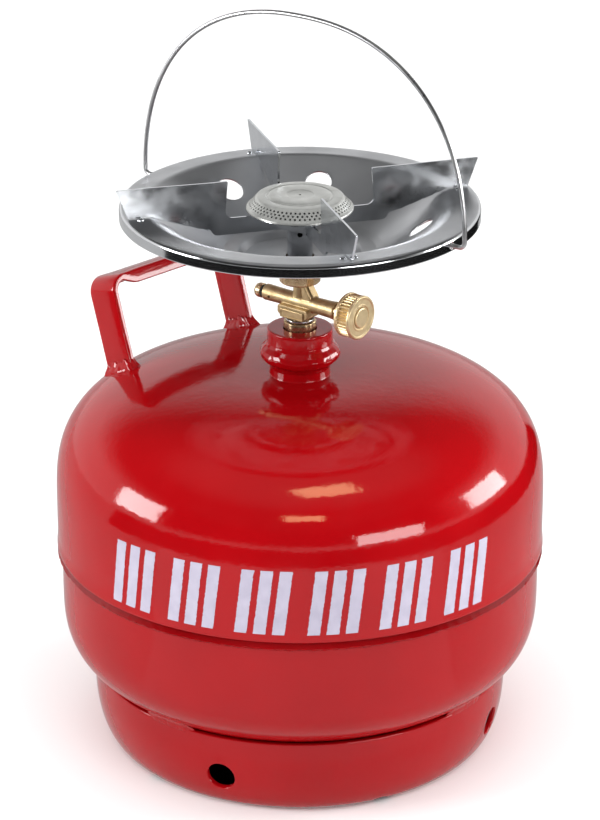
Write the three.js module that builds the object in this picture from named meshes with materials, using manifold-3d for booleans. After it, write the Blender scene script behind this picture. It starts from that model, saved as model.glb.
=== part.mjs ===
// A five-litre propane cylinder with a screw-on camping burner.
//
// The origin is the centre of the foot ring's bottom edge. +Z is up, and lengths are millimetres.
// Azimuths are degrees counter-clockwise from +X, seen from above.
// The cylinder is two drawn shells joined by a girth weld, on a pierced foot ring, with a strap
// handle and a threaded neck. A self-closing valve sits in the neck. The burner is a brass tap that
// screws into that valve, and a wind-shield dish, mixing tube, burner head, two pot-support plates
// and a wire bail stand on the tap.

import * as THREE from "three";
import { mergeVertices } from "three/addons/utils/BufferGeometryUtils.js";
import Module from "manifold-3d";

const wasm = await Module();
wasm.setup();

// ---------------------------------------------------------------- driving dimensions

const GAP = 0.3; // between pieces that touch
const DEGREE = Math.PI / 180;
const SHELL_SEGMENTS = 40;

const WALL = 2.5; // sheet of the shells and the foot ring
const UPPER_RADIUS = 111;
const UPPER_EDGE_Z = 93.4;
const FLARE = 0.5; // the upper shell's edge is belled out by this much
const DOME_START_Z = 116.1;
const DOME_HEIGHT = 59.6;
const DOME_EXPONENT = 3.23;
const LOWER_RADIUS = 109.3;
const LIP_TOP_Z = 103; // the lower shell's joggled lip, inside the upper shell
const BOWL_START_Z = 73.6;
const BOWL_HEIGHT = 49;
const BOWL_EXPONENT = 3.1;

const FOOT_RADIUS = 95.2;
const FOOT_TOP_Z = 36;
const FOOT_CURVE_Z = 29; // below this the ring curves inward
const FOOT_TUCK = 9.4; // how far it curves inward
const FOOT_HOLE_RADIUS = 6.5;
const FOOT_HOLE_Z = 17;
const FOOT_HOLE_AZIMUTH = -22;
const NOTCH_RADIUS = 2.4;
const NOTCH_AZIMUTH = -65.4;
const FOOT_WELD_SPAN = 16;
const FOOT_WELD_AZIMUTH = -128;

const NECK_BORE = 7.3;
const NECK_RISER_RADIUS = 13.4;
const NECK_COLLAR_RADIUS = 14.7;
const NECK_TOP_Z = 197.5;
const NECK_RING_RADIUS = 18.4;
const NECK_RING_Z = 185;
const DOME_HOLE_RADIUS = 11.6;

const HANDLE_AZIMUTH = 135;
const HANDLE_OUT = 78; // from the axis to the feet
const HANDLE_FOOT_Z = 167;
const HANDLE_LEAN = 18;
const HANDLE_HALF_SPAN = 38;
const HANDLE_HEIGHT = 42;
const HANDLE_WIDTH = 17;
const HANDLE_THICKNESS = 3;
const HANDLE_BEND = 7;
const GRIP_HALF_LENGTH = 26;
const GRIP_FOLD = 6;

const VALVE_RADIUS = 6.9;
const VALVE_BASE_Z = 172.5;
const VALVE_TOP_Z = 201;
const SEAT_Z = 181;
const STUB_RADIUS = 4.7;
const STUB_BASE_Z = 186.6;

const TAP_AZIMUTH = -38; // the barrel's direction, towards the knob
const BARREL_Z = 210;
const BARREL_RADIUS = 3.6;
const BARREL_TAIL = -19.4;
const BARREL_NOSE = 21.2;
const TAP_BORE = 2.2;
const OUTLET_RADIUS = 3.05;
const OUTLET_TOP_Z = 222.6;
const KNOB_RADIUS = 9.8;
const KNOB_BACK = 26.2;
const KNOB_FRONT = 33.8;
const KNOB_RIBS = 36;

const HUB_RADIUS = 9.2;
const HUB_BASE_Z = 219.5;
const HUB_TOP_Z = 230.7;
const TUBE_RADIUS = 5.6;
const TUBE_TOP_Z = 252.5;

const SHEET = 0.8; // dish and burner cap
const DISH_RADIUS = 80;
const DISH_RIM_Z = 256.3;
const DISH_HOLE_RADIUS = 6.1;
const DISH_HOLE_RING = 54;
const DISH_HOLE_AZIMUTH = -9;

const CAP_RADIUS = 23.9;
const CAP_TOP_Z = 260;
const CAP_RIM_Z = 254;

const SUPPORT_AZIMUTH = 16.4;
const SUPPORT_THICKNESS = 1;
const SUPPORT_TOP_Z = 269.5;
const SUPPORT_BASE_Z = 245;
const SUPPORT_CORNER = 9.2; // where each arm meets the facet beside the mixing tube

const BAIL_AZIMUTH = -35.6;
const BAIL_Z = 253.2;
const BAIL_HALF_WIDTH = 86.6;
const BAIL_HEIGHT = 88.3;
const BAIL_EXPONENT = 2.27;
const BAIL_WIRE = 1;

// ---------------------------------------------------------------- materials

const finish = (color, roughness, metalness) =>
  new THREE.MeshStandardMaterial({ color, roughness, metalness });
const redPaint = finish(0xb5050f, 0.25, 0);
const brass = finish(0xc2a05c, 0.35, 1);
const zincPlate = finish(0xb9bdc0, 0.28, 1);
const polishedSteel = finish(0xc8cbce, 0.15, 1);
const springSteel = finish(0x9a9da1, 0.35, 1);
const blackRubber = finish(0x151515, 0.8, 0);

// ---------------------------------------------------------------- solids

// A closed three.js geometry as a manifold-3d solid whose faces point out.
function toSolid(geometry) {
  const loose = geometry.index ? geometry.toNonIndexed() : geometry;
  const bare = new THREE.BufferGeometry();
  bare.setAttribute("position", loose.getAttribute("position"));
  const merged = mergeVertices(bare, 1e-3);
  const corners = merged.index.array;
  const kept = [];
  for (let i = 0; i < corners.length; i += 3) {
    const [a, b, c] = corners.slice(i, i + 3);
    if (a !== b && b !== c && c !== a) kept.push(a, b, c);
  }
  const build = (triangles) =>
    new wasm.Manifold(
      new wasm.Mesh({
        numProp: 3,
        vertProperties: merged.attributes.position.array,
        triVerts: new Uint32Array(triangles),
      }),
    );
  const solid = build(kept);
  return solid.volume() > 0 ? solid : build(kept.reverse());
}

function toGeometry(solid) {
  const mesh = solid.getMesh();
  const geometry = new THREE.BufferGeometry();
  geometry.setAttribute("position", new THREE.BufferAttribute(mesh.vertProperties, 3));
  geometry.setIndex(new THREE.BufferAttribute(mesh.triVerts, 1));
  geometry.computeVertexNormals();
  return geometry;
}

const join = (first, ...others) => others.reduce((whole, each) => whole.add(each), first);
const cut = (first, ...tools) => tools.reduce((left, tool) => left.subtract(tool), first);

const point = (x, y) => new THREE.Vector2(x, y);
const at = (x, y, z) => new THREE.Vector3(x, y, z);
const polar = (radius, azimuth, z) =>
  at(radius * Math.cos(azimuth * DEGREE), radius * Math.sin(azimuth * DEGREE), z);

// Points along a circular or elliptical arc, angles in degrees.
function arc(x, y, radiusX, radiusY, start, end, steps) {
  const points = [];
  for (let i = 0; i <= steps; i += 1) {
    const angle = (start + ((end - start) * i) / steps) * DEGREE;
    points.push(point(x + radiusX * Math.cos(angle), y + radiusY * Math.sin(angle)));
  }
  return points;
}

// A closed (radius, height) outline turned about Z.
function turned(outline, segments = SHELL_SEGMENTS) {
  const profile = THREE.ShapeUtils.area(outline) < 0 ? [...outline].reverse() : outline;
  const geometry = new THREE.LatheGeometry([...profile, profile[0]], segments);
  geometry.rotateX(90 * DEGREE);
  return toSolid(geometry);
}

// A ring of rectangular section, or a disc when the inner radius is 0.
function ring(inner, outer, bottom, top, segments = 20) {
  const section = [point(inner, bottom), point(outer, bottom), point(outer, top), point(inner, top)];
  return turned(section, segments);
}

// A round bar between two points.
function rod(radius, from, to, segments = 16) {
  const along = to.clone().sub(from);
  const geometry = new THREE.CylinderGeometry(radius, radius, along.length(), segments);
  geometry.translate(0, along.length() / 2, 0);
  const turn = new THREE.Quaternion().setFromUnitVectors(at(0, 1, 0), along.normalize());
  geometry.applyQuaternion(turn);
  geometry.translate(from.x, from.y, from.z);
  return toSolid(geometry);
}

const bar = (radius, fromX, toX, segments) =>
  rod(radius, at(fromX, 0, BARREL_Z), at(toX, 0, BARREL_Z), segments);

function box(fromX, toX, fromY, toY, fromZ, toZ) {
  const geometry = new THREE.BoxGeometry(toX - fromX, toY - fromY, toZ - fromZ);
  geometry.translate((fromX + toX) / 2, (fromY + toY) / 2, (fromZ + toZ) / 2);
  return toSolid(geometry);
}

// An outline in a plane, given thickness evenly to both sides of it.
function plate(outline, thickness, right, up) {
  const geometry = new THREE.ExtrudeGeometry(new THREE.Shape(outline), {
    depth: thickness,
    bevelEnabled: false,
  });
  geometry.translate(0, 0, -thickness / 2);
  const normal = right.clone().cross(up);
  geometry.applyMatrix4(new THREE.Matrix4().makeBasis(right, up, normal));
  return toSolid(geometry);
}

// A round wire along a curve.
function wire(curve, radius, steps, sides = 8) {
  const section = new THREE.Shape(arc(0, 0, radius, radius, 0, 360 - 360 / sides, sides - 1));
  return toSolid(
    new THREE.ExtrudeGeometry(section, { steps, extrudePath: curve, bevelEnabled: false }),
  );
}

// A compression spring's helix about Z.
function helix(radius, wireRadius, bottom, top, turns) {
  const points = [];
  const count = turns * 8;
  for (let i = 0; i <= count; i += 1) {
    points.push(polar(radius, i * 45, bottom + ((top - bottom) * i) / count));
  }
  return wire(new THREE.CatmullRomCurve3(points), wireRadius, count, 5);
}

// ---------------------------------------------------------------- the shells' curves

// Half of a domed head: radius against height is a superellipse from its equator to a hole.
function head(radius, startZ, height, exponent, holeRadius, steps) {
  const end = Math.acos((holeRadius / radius) ** (exponent / 2));
  const points = [];
  for (let i = 0; i <= steps; i += 1) {
    const angle = (end * i) / steps;
    const r = radius * Math.cos(angle) ** (2 / exponent);
    points.push(point(r, startZ + height * Math.sin(angle) ** (2 / exponent)));
  }
  return points;
}

const headRadiusAt = (z, radius, startZ, height, exponent) =>
  radius * (1 - (Math.abs(z - startZ) / height) ** exponent) ** (1 / exponent);
const bowlRadiusAt = (z) => headRadiusAt(z, LOWER_RADIUS, BOWL_START_Z, BOWL_HEIGHT, BOWL_EXPONENT);

// The upper shell's outside as a full solid, grown by a gap: what stands on it is cut with this.
function domeSolid(grow) {
  const dome = head(UPPER_RADIUS + grow, DOME_START_Z, DOME_HEIGHT + grow, DOME_EXPONENT, 0.01, 20);
  return turned([point(0, UPPER_EDGE_Z), point(UPPER_RADIUS + grow, UPPER_EDGE_Z), ...dome,
    point(0, DOME_START_Z + DOME_HEIGHT + grow)]);
}

// ---------------------------------------------------------------- cylinder

function upperShell() {
  const inside = head(UPPER_RADIUS - WALL, DOME_START_Z, DOME_HEIGHT - WALL, DOME_EXPONENT,
    DOME_HOLE_RADIUS, 6);
  const outside = head(UPPER_RADIUS, DOME_START_Z, DOME_HEIGHT, DOME_EXPONENT, DOME_HOLE_RADIUS, 10);
  return turned([
    point(UPPER_RADIUS - WALL, UPPER_EDGE_Z),
    point(UPPER_RADIUS, UPPER_EDGE_Z),
    point(UPPER_RADIUS + FLARE, UPPER_EDGE_Z + 2.2),
    point(UPPER_RADIUS, UPPER_EDGE_Z + 7),
    ...outside,
    ...inside.reverse(),
  ]);
}

function lowerShell() {
  const lip = UPPER_RADIUS - WALL - GAP;
  const outside = head(LOWER_RADIUS, BOWL_START_Z, -BOWL_HEIGHT, BOWL_EXPONENT, 0.01, 8);
  const inside = head(LOWER_RADIUS - WALL, BOWL_START_Z, WALL - BOWL_HEIGHT, BOWL_EXPONENT, 0.01, 5);
  return turned([
    point(lip, LIP_TOP_Z),
    point(lip, UPPER_EDGE_Z - GAP),
    point(LOWER_RADIUS, UPPER_EDGE_Z - GAP),
    ...outside,
    point(0, BOWL_START_Z - BOWL_HEIGHT),
    point(0, BOWL_START_Z - BOWL_HEIGHT + WALL),
    ...inside.reverse(),
    point(lip - WALL, UPPER_EDGE_Z - 4),
    point(lip - WALL, LIP_TOP_Z),
  ]);
}

function girthWeld() {
  const inner = LOWER_RADIUS + GAP;
  const top = UPPER_EDGE_Z - GAP;
  return turned([
    point(inner, top - 3),
    point(inner + 0.6, top - 2.2),
    point(inner + 0.9, top),
    point(inner, top),
  ]);
}

function footRing() {
  const outside = arc(FOOT_RADIUS - FOOT_TUCK, FOOT_CURVE_Z, FOOT_TUCK, FOOT_CURVE_Z, -90, 0, 3);
  const inside = outside.map((p) => point(p.x - WALL, p.y));
  const body = turned([
    ...outside,
    point(FOOT_RADIUS, FOOT_TOP_Z),
    point(FOOT_RADIUS - WALL, FOOT_TOP_Z),
    ...inside.reverse(),
  ]);
  const holes = [0, 1, 2, 3].map((i) => {
    const azimuth = FOOT_HOLE_AZIMUTH + 90 * i;
    return rod(FOOT_HOLE_RADIUS, polar(70, azimuth, FOOT_HOLE_Z), polar(110, azimuth, FOOT_HOLE_Z), 16);
  });
  const notches = [0, 1, 2, 3, 4].map((i) => {
    const azimuth = NOTCH_AZIMUTH + 72 * i;
    return rod(NOTCH_RADIUS, polar(70, azimuth, 0), polar(110, azimuth, 0), 8);
  });
  return cut(body, ...holes, ...notches);
}

// A short fillet weld between the foot ring's top edge and the lower shell.
function footWeld(azimuth) {
  const low = FOOT_TOP_Z + GAP;
  const high = low + 1.9;
  const section = [
    point(bowlRadiusAt(low) + 0.5, low),
    point(FOOT_RADIUS, low),
    point(bowlRadiusAt(high) + 0.9, high),
    point(bowlRadiusAt(high) + 0.4, high),
  ];
  const bead = turned(section, 60);
  const reach = 2 * FOOT_RADIUS;
  const half = (FOOT_WELD_SPAN / 2) * DEGREE;
  const spread = reach * Math.tan(half);
  const wedge = new THREE.Shape([point(0, 0), point(reach, -spread), point(reach, spread)]);
  const sector = new THREE.ExtrudeGeometry(wedge, { depth: 100, bevelEnabled: false });
  sector.rotateZ(azimuth * DEGREE);
  return bead.intersect(toSolid(sector));
}

// ---------------------------------------------------------------- carry handle

const handleChord = polar(1, HANDLE_AZIMUTH - 90, 0);
const handleOut = polar(1, HANDLE_AZIMUTH, 0);
const handleUp = handleOut.clone().multiplyScalar(Math.sin(HANDLE_LEAN * DEGREE))
  .add(at(0, 0, Math.cos(HANDLE_LEAN * DEGREE)));
const handleBase = handleOut.clone().multiplyScalar(HANDLE_OUT).add(at(0, 0, HANDLE_FOOT_Z));

// One inverted U in the handle's plane, offset inward from its outer outline.
function handleOutline(inset, foot) {
  const side = HANDLE_HALF_SPAN - inset + HANDLE_THICKNESS / 2;
  const top = HANDLE_HEIGHT - inset;
  const bend = HANDLE_BEND - inset;
  return [
    point(side, foot),
    ...arc(side - bend, top - bend, bend, bend, 0, 90, 5),
    ...arc(bend - side, top - bend, bend, bend, 90, 180, 5),
    point(-side, foot),
  ];
}

function inHandleFrame(solid) {
  return solid.translate([handleBase.x, handleBase.y, handleBase.z]);
}

// A side edge of the grip, folded down from the strap and tapering out at both ends.
function gripFold(side) {
  const top = HANDLE_HEIGHT - 0.4;
  const outline = [
    point(-GRIP_HALF_LENGTH, top),
    point(-GRIP_HALF_LENGTH + 6, HANDLE_HEIGHT - GRIP_FOLD),
    point(GRIP_HALF_LENGTH - 6, HANDLE_HEIGHT - GRIP_FOLD),
    point(GRIP_HALF_LENGTH, top),
  ];
  const inward = handleChord.clone().cross(handleUp);
  const offset = inward.multiplyScalar(side * (HANDLE_WIDTH / 2 - 1));
  return plate(outline, 2, handleChord, handleUp).translate([offset.x, offset.y, offset.z]);
}

function carryHandle() {
  const foot = -14;
  const outline = [...handleOutline(0, foot), ...handleOutline(HANDLE_THICKNESS, foot).reverse()];
  const strap = plate(outline, HANDLE_WIDTH, handleChord, handleUp);
  return cut(inHandleFrame(join(strap, gripFold(-1), gripFold(1))), domeSolid(GAP));
}

// A weld run all round one foot of the handle.
function handleWeld(side) {
  const bead = new THREE.SphereGeometry(1, 12, 8);
  bead.scale(4.6, 3.2, HANDLE_WIDTH / 2 + 2.2);
  const inward = handleChord.clone().cross(handleUp);
  bead.applyMatrix4(new THREE.Matrix4().makeBasis(handleChord, handleUp, inward));
  const foot = handleChord.clone().multiplyScalar(side * HANDLE_HALF_SPAN);
  foot.addScaledVector(handleUp, -1.2);
  bead.translate(foot.x, foot.y, foot.z);
  const left = side * HANDLE_HALF_SPAN - HANDLE_THICKNESS / 2 - GAP;
  const right = left + HANDLE_THICKNESS + 2 * GAP;
  const legRoom = plate(
    [point(left, -20), point(right, -20), point(right, 20), point(left, 20)],
    HANDLE_WIDTH + 2 * GAP,
    handleChord,
    handleUp,
  );
  return cut(inHandleFrame(cut(toSolid(bead), legRoom)), domeSolid(GAP));
}

// ---------------------------------------------------------------- neck and tank valve

function neckBoss() {
  const shoulder = DOME_START_Z + DOME_HEIGHT + GAP;
  return turned([
    point(NECK_BORE, 170),
    point(DOME_HOLE_RADIUS - GAP, 170),
    point(DOME_HOLE_RADIUS - GAP, shoulder),
    point(NECK_RISER_RADIUS + 0.8, shoulder),
    point(NECK_RISER_RADIUS, shoulder + 1.4),
    point(NECK_RISER_RADIUS, NECK_TOP_Z - 6),
    point(NECK_COLLAR_RADIUS, NECK_TOP_Z - 5),
    point(NECK_COLLAR_RADIUS, NECK_TOP_Z - 0.8),
    point(NECK_COLLAR_RADIUS - 0.8, NECK_TOP_Z),
    point(NECK_BORE, NECK_TOP_Z),
  ], 24);
}

function neckRing() {
  const inner = NECK_RISER_RADIUS + GAP;
  return turned([
    point(inner, NECK_RING_Z - 4.4),
    point(inner + 1.2, NECK_RING_Z - 4.4),
    point(NECK_RING_RADIUS - 0.5, NECK_RING_Z - 1.2),
    point(NECK_RING_RADIUS, NECK_RING_Z + 0.4),
    point(NECK_RING_RADIUS - 0.7, NECK_RING_Z + 1.9),
    point(inner + 1.6, NECK_RING_Z + 4.6),
    point(inner, NECK_RING_Z + 5.4),
  ], 24);
}

// A lobed flange on top of a tube with a narrow seat inside.
function tankValve() {
  const tube = turned([
    point(5, VALVE_BASE_Z),
    point(VALVE_RADIUS, VALVE_BASE_Z),
    point(VALVE_RADIUS, NECK_TOP_Z + 1),
    point(STUB_RADIUS + GAP, NECK_TOP_Z + 1),
    point(STUB_RADIUS + GAP, SEAT_Z + 3),
    point(2.4, SEAT_Z + 3),
    point(2.4, SEAT_Z),
    point(5, SEAT_Z),
  ], 16);
  const lobes = [];
  for (let i = 0; i < 24; i += 1) {
    const radius = i % 4 < 2 ? 7.25 : 6.7;
    const p = polar(radius, i * 15, 0);
    lobes.push(point(p.x, p.y));
  }
  const flange = plate(lobes, VALVE_TOP_Z - NECK_TOP_Z - GAP, at(1, 0, 0), at(0, 1, 0));
  const middle = (VALVE_TOP_Z + NECK_TOP_Z + GAP) / 2;
  const bore = ring(0, STUB_RADIUS + GAP, NECK_TOP_Z, VALVE_TOP_Z + 1, 16);
  return join(tube, cut(flange.translate([0, 0, middle]), bore));
}

function valvePoppet() {
  return turned([
    point(0, 177.4),
    point(1.6, 177.4),
    point(1.6, 178.2),
    point(3.8, 178.2),
    point(3.8, SEAT_Z - GAP),
    point(1.2, SEAT_Z - GAP),
    point(1.2, STUB_BASE_Z - GAP),
    point(0, STUB_BASE_Z - GAP),
  ], 16);
}

// ---------------------------------------------------------------- tap, in the barrel's own frame

function tapBody() {
  const stub = ring(0, STUB_RADIUS, STUB_BASE_Z, 203.5, 20);
  const block = plate([
    point(-5.4, 202.5),
    point(5.4, 202.5),
    point(8.4, 204.4),
    point(8.4, 208.6),
    point(-8.4, 208.6),
    point(-8.4, 204.4),
  ], 11.6, at(1, 0, 0), at(0, 0, 1));
  const gusset = plate([
    point(0, 212),
    point(8.2, 212),
    point(8.6, 213.6),
    point(4.6, HUB_BASE_Z - GAP),
    point(0, HUB_BASE_Z - GAP),
  ], 5.4, at(1, 0, 0), at(0, 0, 1));
  const nameplate = box(-6.5, 6.4, -6.5, -5.5, 203.1, 206.9);
  const barrel = bar(BARREL_RADIUS, BARREL_TAIL, BARREL_NOSE, 20);
  const outlet = ring(0, OUTLET_RADIUS, BARREL_Z, OUTLET_TOP_Z, 20);
  const body = join(stub, block, gusset, nameplate, barrel, outlet);
  const vent = rod(0.75, at(-15, -6, BARREL_Z - 0.6), at(-15, 0, BARREL_Z - 0.6), 8);
  return cut(
    body,
    ring(0, 1.3, STUB_BASE_Z - 1, BARREL_Z, 10),
    ring(0, 1.3, BARREL_Z, OUTLET_TOP_Z + 1, 10),
    bar(TAP_BORE, 2.4, BARREL_NOSE + 1, 16),
    bar(0.8, -8, 3, 8),
    bar(TAP_BORE, BARREL_TAIL - 1, -7, 16),
    vent,
  );
}

// Turned about the barrel's axis: the outline is (distance along the barrel, radius).
function turnedOnBarrel(outline, segments = 16) {
  const flipped = outline.map((p) => point(p.y, p.x));
  return turned(flipped, segments).rotate([0, 90, 0]).translate([0, 0, BARREL_Z]);
}

const sleeve = (inner, outer, from, to, segments) =>
  turnedOnBarrel([point(from, inner), point(from, outer), point(to, outer), point(to, inner)], segments);

const glandNut = () =>
  turnedOnBarrel([
    point(BARREL_NOSE + GAP, 1.9),
    point(BARREL_NOSE + GAP, 3.9),
    point(25, 3.9),
    point(25.4, 3.4),
    point(25.4, 1.9),
  ], 20);

const spindle = () =>
  cut(
    turnedOnBarrel([
      point(3, 0),
      point(4.4, 1.6),
      point(16.6, 1.6),
      point(16.6, 1.2),
      point(18.2, 1.2),
      point(18.2, 1.6),
      point(31, 1.6),
      point(31, 0),
    ]),
    bar(1.1, 28, 32, 8),
  );

const spindleSeal = () => sleeve(1.5, 1.95, 16.95, 17.85);

function knob() {
  const outline = [];
  for (let i = 0; i < 2 * KNOB_RIBS; i += 1) {
    const p = polar(KNOB_RADIUS - (i % 2 ? 0.7 : 0.1), (i * 180) / KNOB_RIBS, 0);
    outline.push(point(p.x, p.y));
  }
  const ribbed = plate(outline, 5.4, at(0, 1, 0), at(0, 0, 1)).translate([29.9, 0, BARREL_Z]);
  const backRim = sleeve(0, KNOB_RADIUS, KNOB_BACK, KNOB_BACK + 1.6, 36);
  const frontRim = turnedOnBarrel([
    point(KNOB_FRONT - 1.6, 0),
    point(KNOB_FRONT - 1.6, KNOB_RADIUS),
    point(KNOB_FRONT - 0.5, KNOB_RADIUS),
    point(KNOB_FRONT, KNOB_RADIUS - 0.8),
    point(KNOB_FRONT, 0),
  ], 36);
  return cut(
    join(ribbed, backRim, frontRim),
    bar(1.9, KNOB_BACK - 1, 31.3, 12),
    bar(1.1, 31, KNOB_FRONT, 8),
    bar(4.9, 31.9, KNOB_FRONT + 1, 20),
  );
}

const knobScrew = () => join(sleeve(0, 2, 32.2, 32.9, 10), sleeve(0, 0.8, 28.4, 32.3, 8));
const knobCap = () => sleeve(0, 4.6, 33.2, KNOB_FRONT + 0.4, 20);

const reliefSeal = () => sleeve(2.3, 3.2, -20.5, -19.7, 16);
const reliefPlug = () =>
  turnedOnBarrel([
    point(-24.1, 0),
    point(-24.1, 2.5),
    point(-23.3, 3.3),
    point(-20.8, 3.3),
    point(-20.8, 1.9),
    point(-18.5, 1.9),
    point(-18.5, 0),
  ]);
const reliefSpring = () =>
  helix(1.4, 0.25, -17.9, -11.1, 4).rotate([0, 90, 0]).translate([0, 0, BARREL_Z]);
const reliefPiston = () => sleeve(0, 1.8, -10.5, -7.3, 12);

// ---------------------------------------------------------------- burner

// The brass hub grips the tap's outlet and carries the dish and the mixing tube.
const burnerHub = () =>
  turned([
    point(OUTLET_RADIUS + GAP, HUB_BASE_Z),
    point(HUB_RADIUS - 0.6, HUB_BASE_Z),
    point(HUB_RADIUS, HUB_BASE_Z + 0.6),
    point(HUB_RADIUS, HUB_TOP_Z),
    point(TUBE_RADIUS + GAP, HUB_TOP_Z),
    point(TUBE_RADIUS + GAP, 223),
    point(OUTLET_RADIUS + GAP, 223),
  ], 24);

const jetNozzle = () =>
  turned([
    point(0.4, OUTLET_TOP_Z + GAP),
    point(2.6, OUTLET_TOP_Z + GAP),
    point(2.6, 226.2),
    point(1.6, 229.2),
    point(0.4, 229.2),
  ], 12);

function mixingTube() {
  const body = ring(TUBE_RADIUS - 0.6, TUBE_RADIUS, 223.4, TUBE_TOP_Z, 24);
  const airHoles = [0, 90, 180, 270].map((azimuth) =>
    rod(1.1, polar(3, azimuth, 243.2), polar(8, azimuth, 243.2), 10));
  return cut(body, ...airHoles);
}

function windShieldDish() {
  const t = SHEET;
  const topFace = [
    point(TUBE_RADIUS + GAP, 231.8),
    point(24.5, 231.8),
    point(27.5, 234.4),
    point(34, 234.6),
    point(37, 236),
    point(62.6, 253.8),
    ...arc(68, 248.3, 8, 8, 130, 90, 2),
    ...arc(DISH_RADIUS - 2.6, DISH_RIM_Z - 2.6, 2.6, 2.6, 90, 0, 3),
    point(DISH_RADIUS, 250.6),
  ];
  const underside = [
    point(DISH_RADIUS - t, 250.6),
    ...arc(DISH_RADIUS - 2.6, DISH_RIM_Z - 2.6, 2.6 - t, 2.6 - t, 0, 90, 2),
    ...arc(68, 248.3, 8 - t, 8 - t, 90, 130, 2),
    point(62.8, 252.9),
    point(37.4, 235.2),
    point(34.2, 233.8),
    point(27.3, 233.6),
    point(24.3, 231),
    point(TUBE_RADIUS + GAP, 231),
  ];
  const airHoles = [];
  for (let i = 0; i < 8; i += 1) {
    const azimuth = DISH_HOLE_AZIMUTH + 45 * i;
    const low = polar(DISH_HOLE_RING + 5.7, azimuth, 239.8);
    const high = polar(DISH_HOLE_RING - 5.7, azimuth, 256.2);
    airHoles.push(rod(DISH_HOLE_RADIUS, low, high, 16));
  }
  const bailFrom = polar(-90, BAIL_AZIMUTH, BAIL_Z);
  const bailTo = polar(90, BAIL_AZIMUTH, BAIL_Z);
  const bailHole = rod(BAIL_WIRE + 0.5, bailFrom, bailTo, 8);
  return cut(turned([...topFace, ...underside]), ...airHoles, bailHole);
}

const burnerBase = () =>
  turned([
    point(4, 248.5),
    point(4.6, 248.5),
    point(4.6, TUBE_TOP_Z + GAP),
    point(22.6, TUBE_TOP_Z + GAP),
    point(22.6, 253.6),
    point(4, 253.6),
  ], 28);

function burnerCap() {
  const t = SHEET;
  return turned([
    point(22.4, CAP_RIM_Z),
    point(CAP_RADIUS, CAP_RIM_Z),
    point(CAP_RADIUS, CAP_RIM_Z + 0.7),
    point(22.9, CAP_RIM_Z + 0.9),
    point(19.3, CAP_TOP_Z - 0.7),
    point(18.4, CAP_TOP_Z),
    point(11.5, CAP_TOP_Z),
    point(11, CAP_TOP_Z + 0.4),
    point(9.6, CAP_TOP_Z + 0.4),
    point(9, CAP_TOP_Z),
    point(0, CAP_TOP_Z),
    point(0, CAP_TOP_Z - t),
    point(18.2, CAP_TOP_Z - t),
  ], 28);
}

// One arm's outline in its own upright plane: distance from the axis, and height.
function supportArmOutline() {
  return [
    point(SUPPORT_CORNER - 0.5, SUPPORT_BASE_Z),
    ...arc(37.5, SUPPORT_BASE_Z + 3.5, 3.5, 3.5, -90, 0, 3),
    ...arc(46.5, 252.2, 5.5, 5.5, 180, 90, 4),
    point(67.5, 257.7),
    point(68.3, DISH_RIM_Z + 0.4),
    point(78, DISH_RIM_Z + 0.4),
    point(83, SUPPORT_TOP_Z),
    point(33, SUPPORT_TOP_Z),
    ...arc(37 - 5.5, SUPPORT_BASE_Z + 10.5, 3, 3, 0, -90, 3),
    point(SUPPORT_CORNER - 0.5, SUPPORT_BASE_Z + 7.5),
  ];
}

// Two arms at right angles, bent from one strip with a facet between them beside the mixing tube.
function potSupport(azimuth) {
  const up = at(0, 0, 1);
  const arms = [0, 90].map((turn) =>
    plate(supportArmOutline(), SUPPORT_THICKNESS, polar(1, azimuth + turn, 0), up));
  const middle = SUPPORT_CORNER * Math.SQRT1_2;
  const reach = middle + 0.35;
  const facet = box(middle - 0.5, middle + 0.5, -reach, reach, SUPPORT_BASE_Z, SUPPORT_BASE_Z + 7.5);
  return join(...arms, facet.rotate([0, 0, azimuth + 45]));
}

// A half-round spot on the rim beside a support's foot.
function footSpot(azimuth, side) {
  const centre = polar(73, azimuth, DISH_RIM_Z + 0.35);
  const sideways = polar(2.7 * side, azimuth + 90, 0);
  const dome = turned([point(0, 0), point(1.2, 0), point(0.9, 0.5), point(0, 0.75)], 8);
  return dome.translate([centre.x + sideways.x, centre.y + sideways.y, centre.z]);
}

// The bail: a superellipse arch whose two ends turn in through the dish's skirt.
function wireBail() {
  const along = polar(1, BAIL_AZIMUTH, 0);
  const place = (across, height) => along.clone().multiplyScalar(across).setZ(BAIL_Z + height);
  const side = (sign) => [place(sign * 77.6, 0), place(sign * 80.4, 0), place(sign * 83.6, 0.1),
    place(sign * (BAIL_HALF_WIDTH - 0.9), 1.2)];
  const arch = [];
  const steps = 30;
  for (let i = 1; i < steps; i += 1) {
    const angle = (Math.PI * i) / steps;
    const lean = Math.cos(angle);
    const across = BAIL_HALF_WIDTH * Math.sign(lean) * Math.abs(lean) ** (2 / BAIL_EXPONENT);
    arch.push(place(across, BAIL_HEIGHT * Math.sin(angle) ** (2 / BAIL_EXPONENT)));
  }
  const points = [...side(1), ...arch, ...side(-1).reverse()];
  return wire(new THREE.CatmullRomCurve3(points, false, "centripetal"), BAIL_WIRE, 64, 6);
}

// ---------------------------------------------------------------- assembly

function add(group, name, material, solid) {
  const mesh = new THREE.Mesh(toGeometry(solid), material);
  mesh.name = name;
  group.add(mesh);
}

const cylinder = new THREE.Group();
add(cylinder, "upper_shell", redPaint, upperShell());
add(cylinder, "lower_shell", redPaint, lowerShell());
add(cylinder, "girth_weld", redPaint, girthWeld());
add(cylinder, "foot_ring", redPaint, footRing());
for (let i = 0; i < 4; i += 1) {
  add(cylinder, "foot_weld_" + (i + 1), redPaint, footWeld(FOOT_WELD_AZIMUTH + 90 * i));
}
add(cylinder, "carry_handle", redPaint, carryHandle());
add(cylinder, "handle_weld_left", redPaint, handleWeld(-1));
add(cylinder, "handle_weld_right", redPaint, handleWeld(1));
add(cylinder, "neck_boss", redPaint, neckBoss());
add(cylinder, "neck_ring", redPaint, neckRing());

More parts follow.
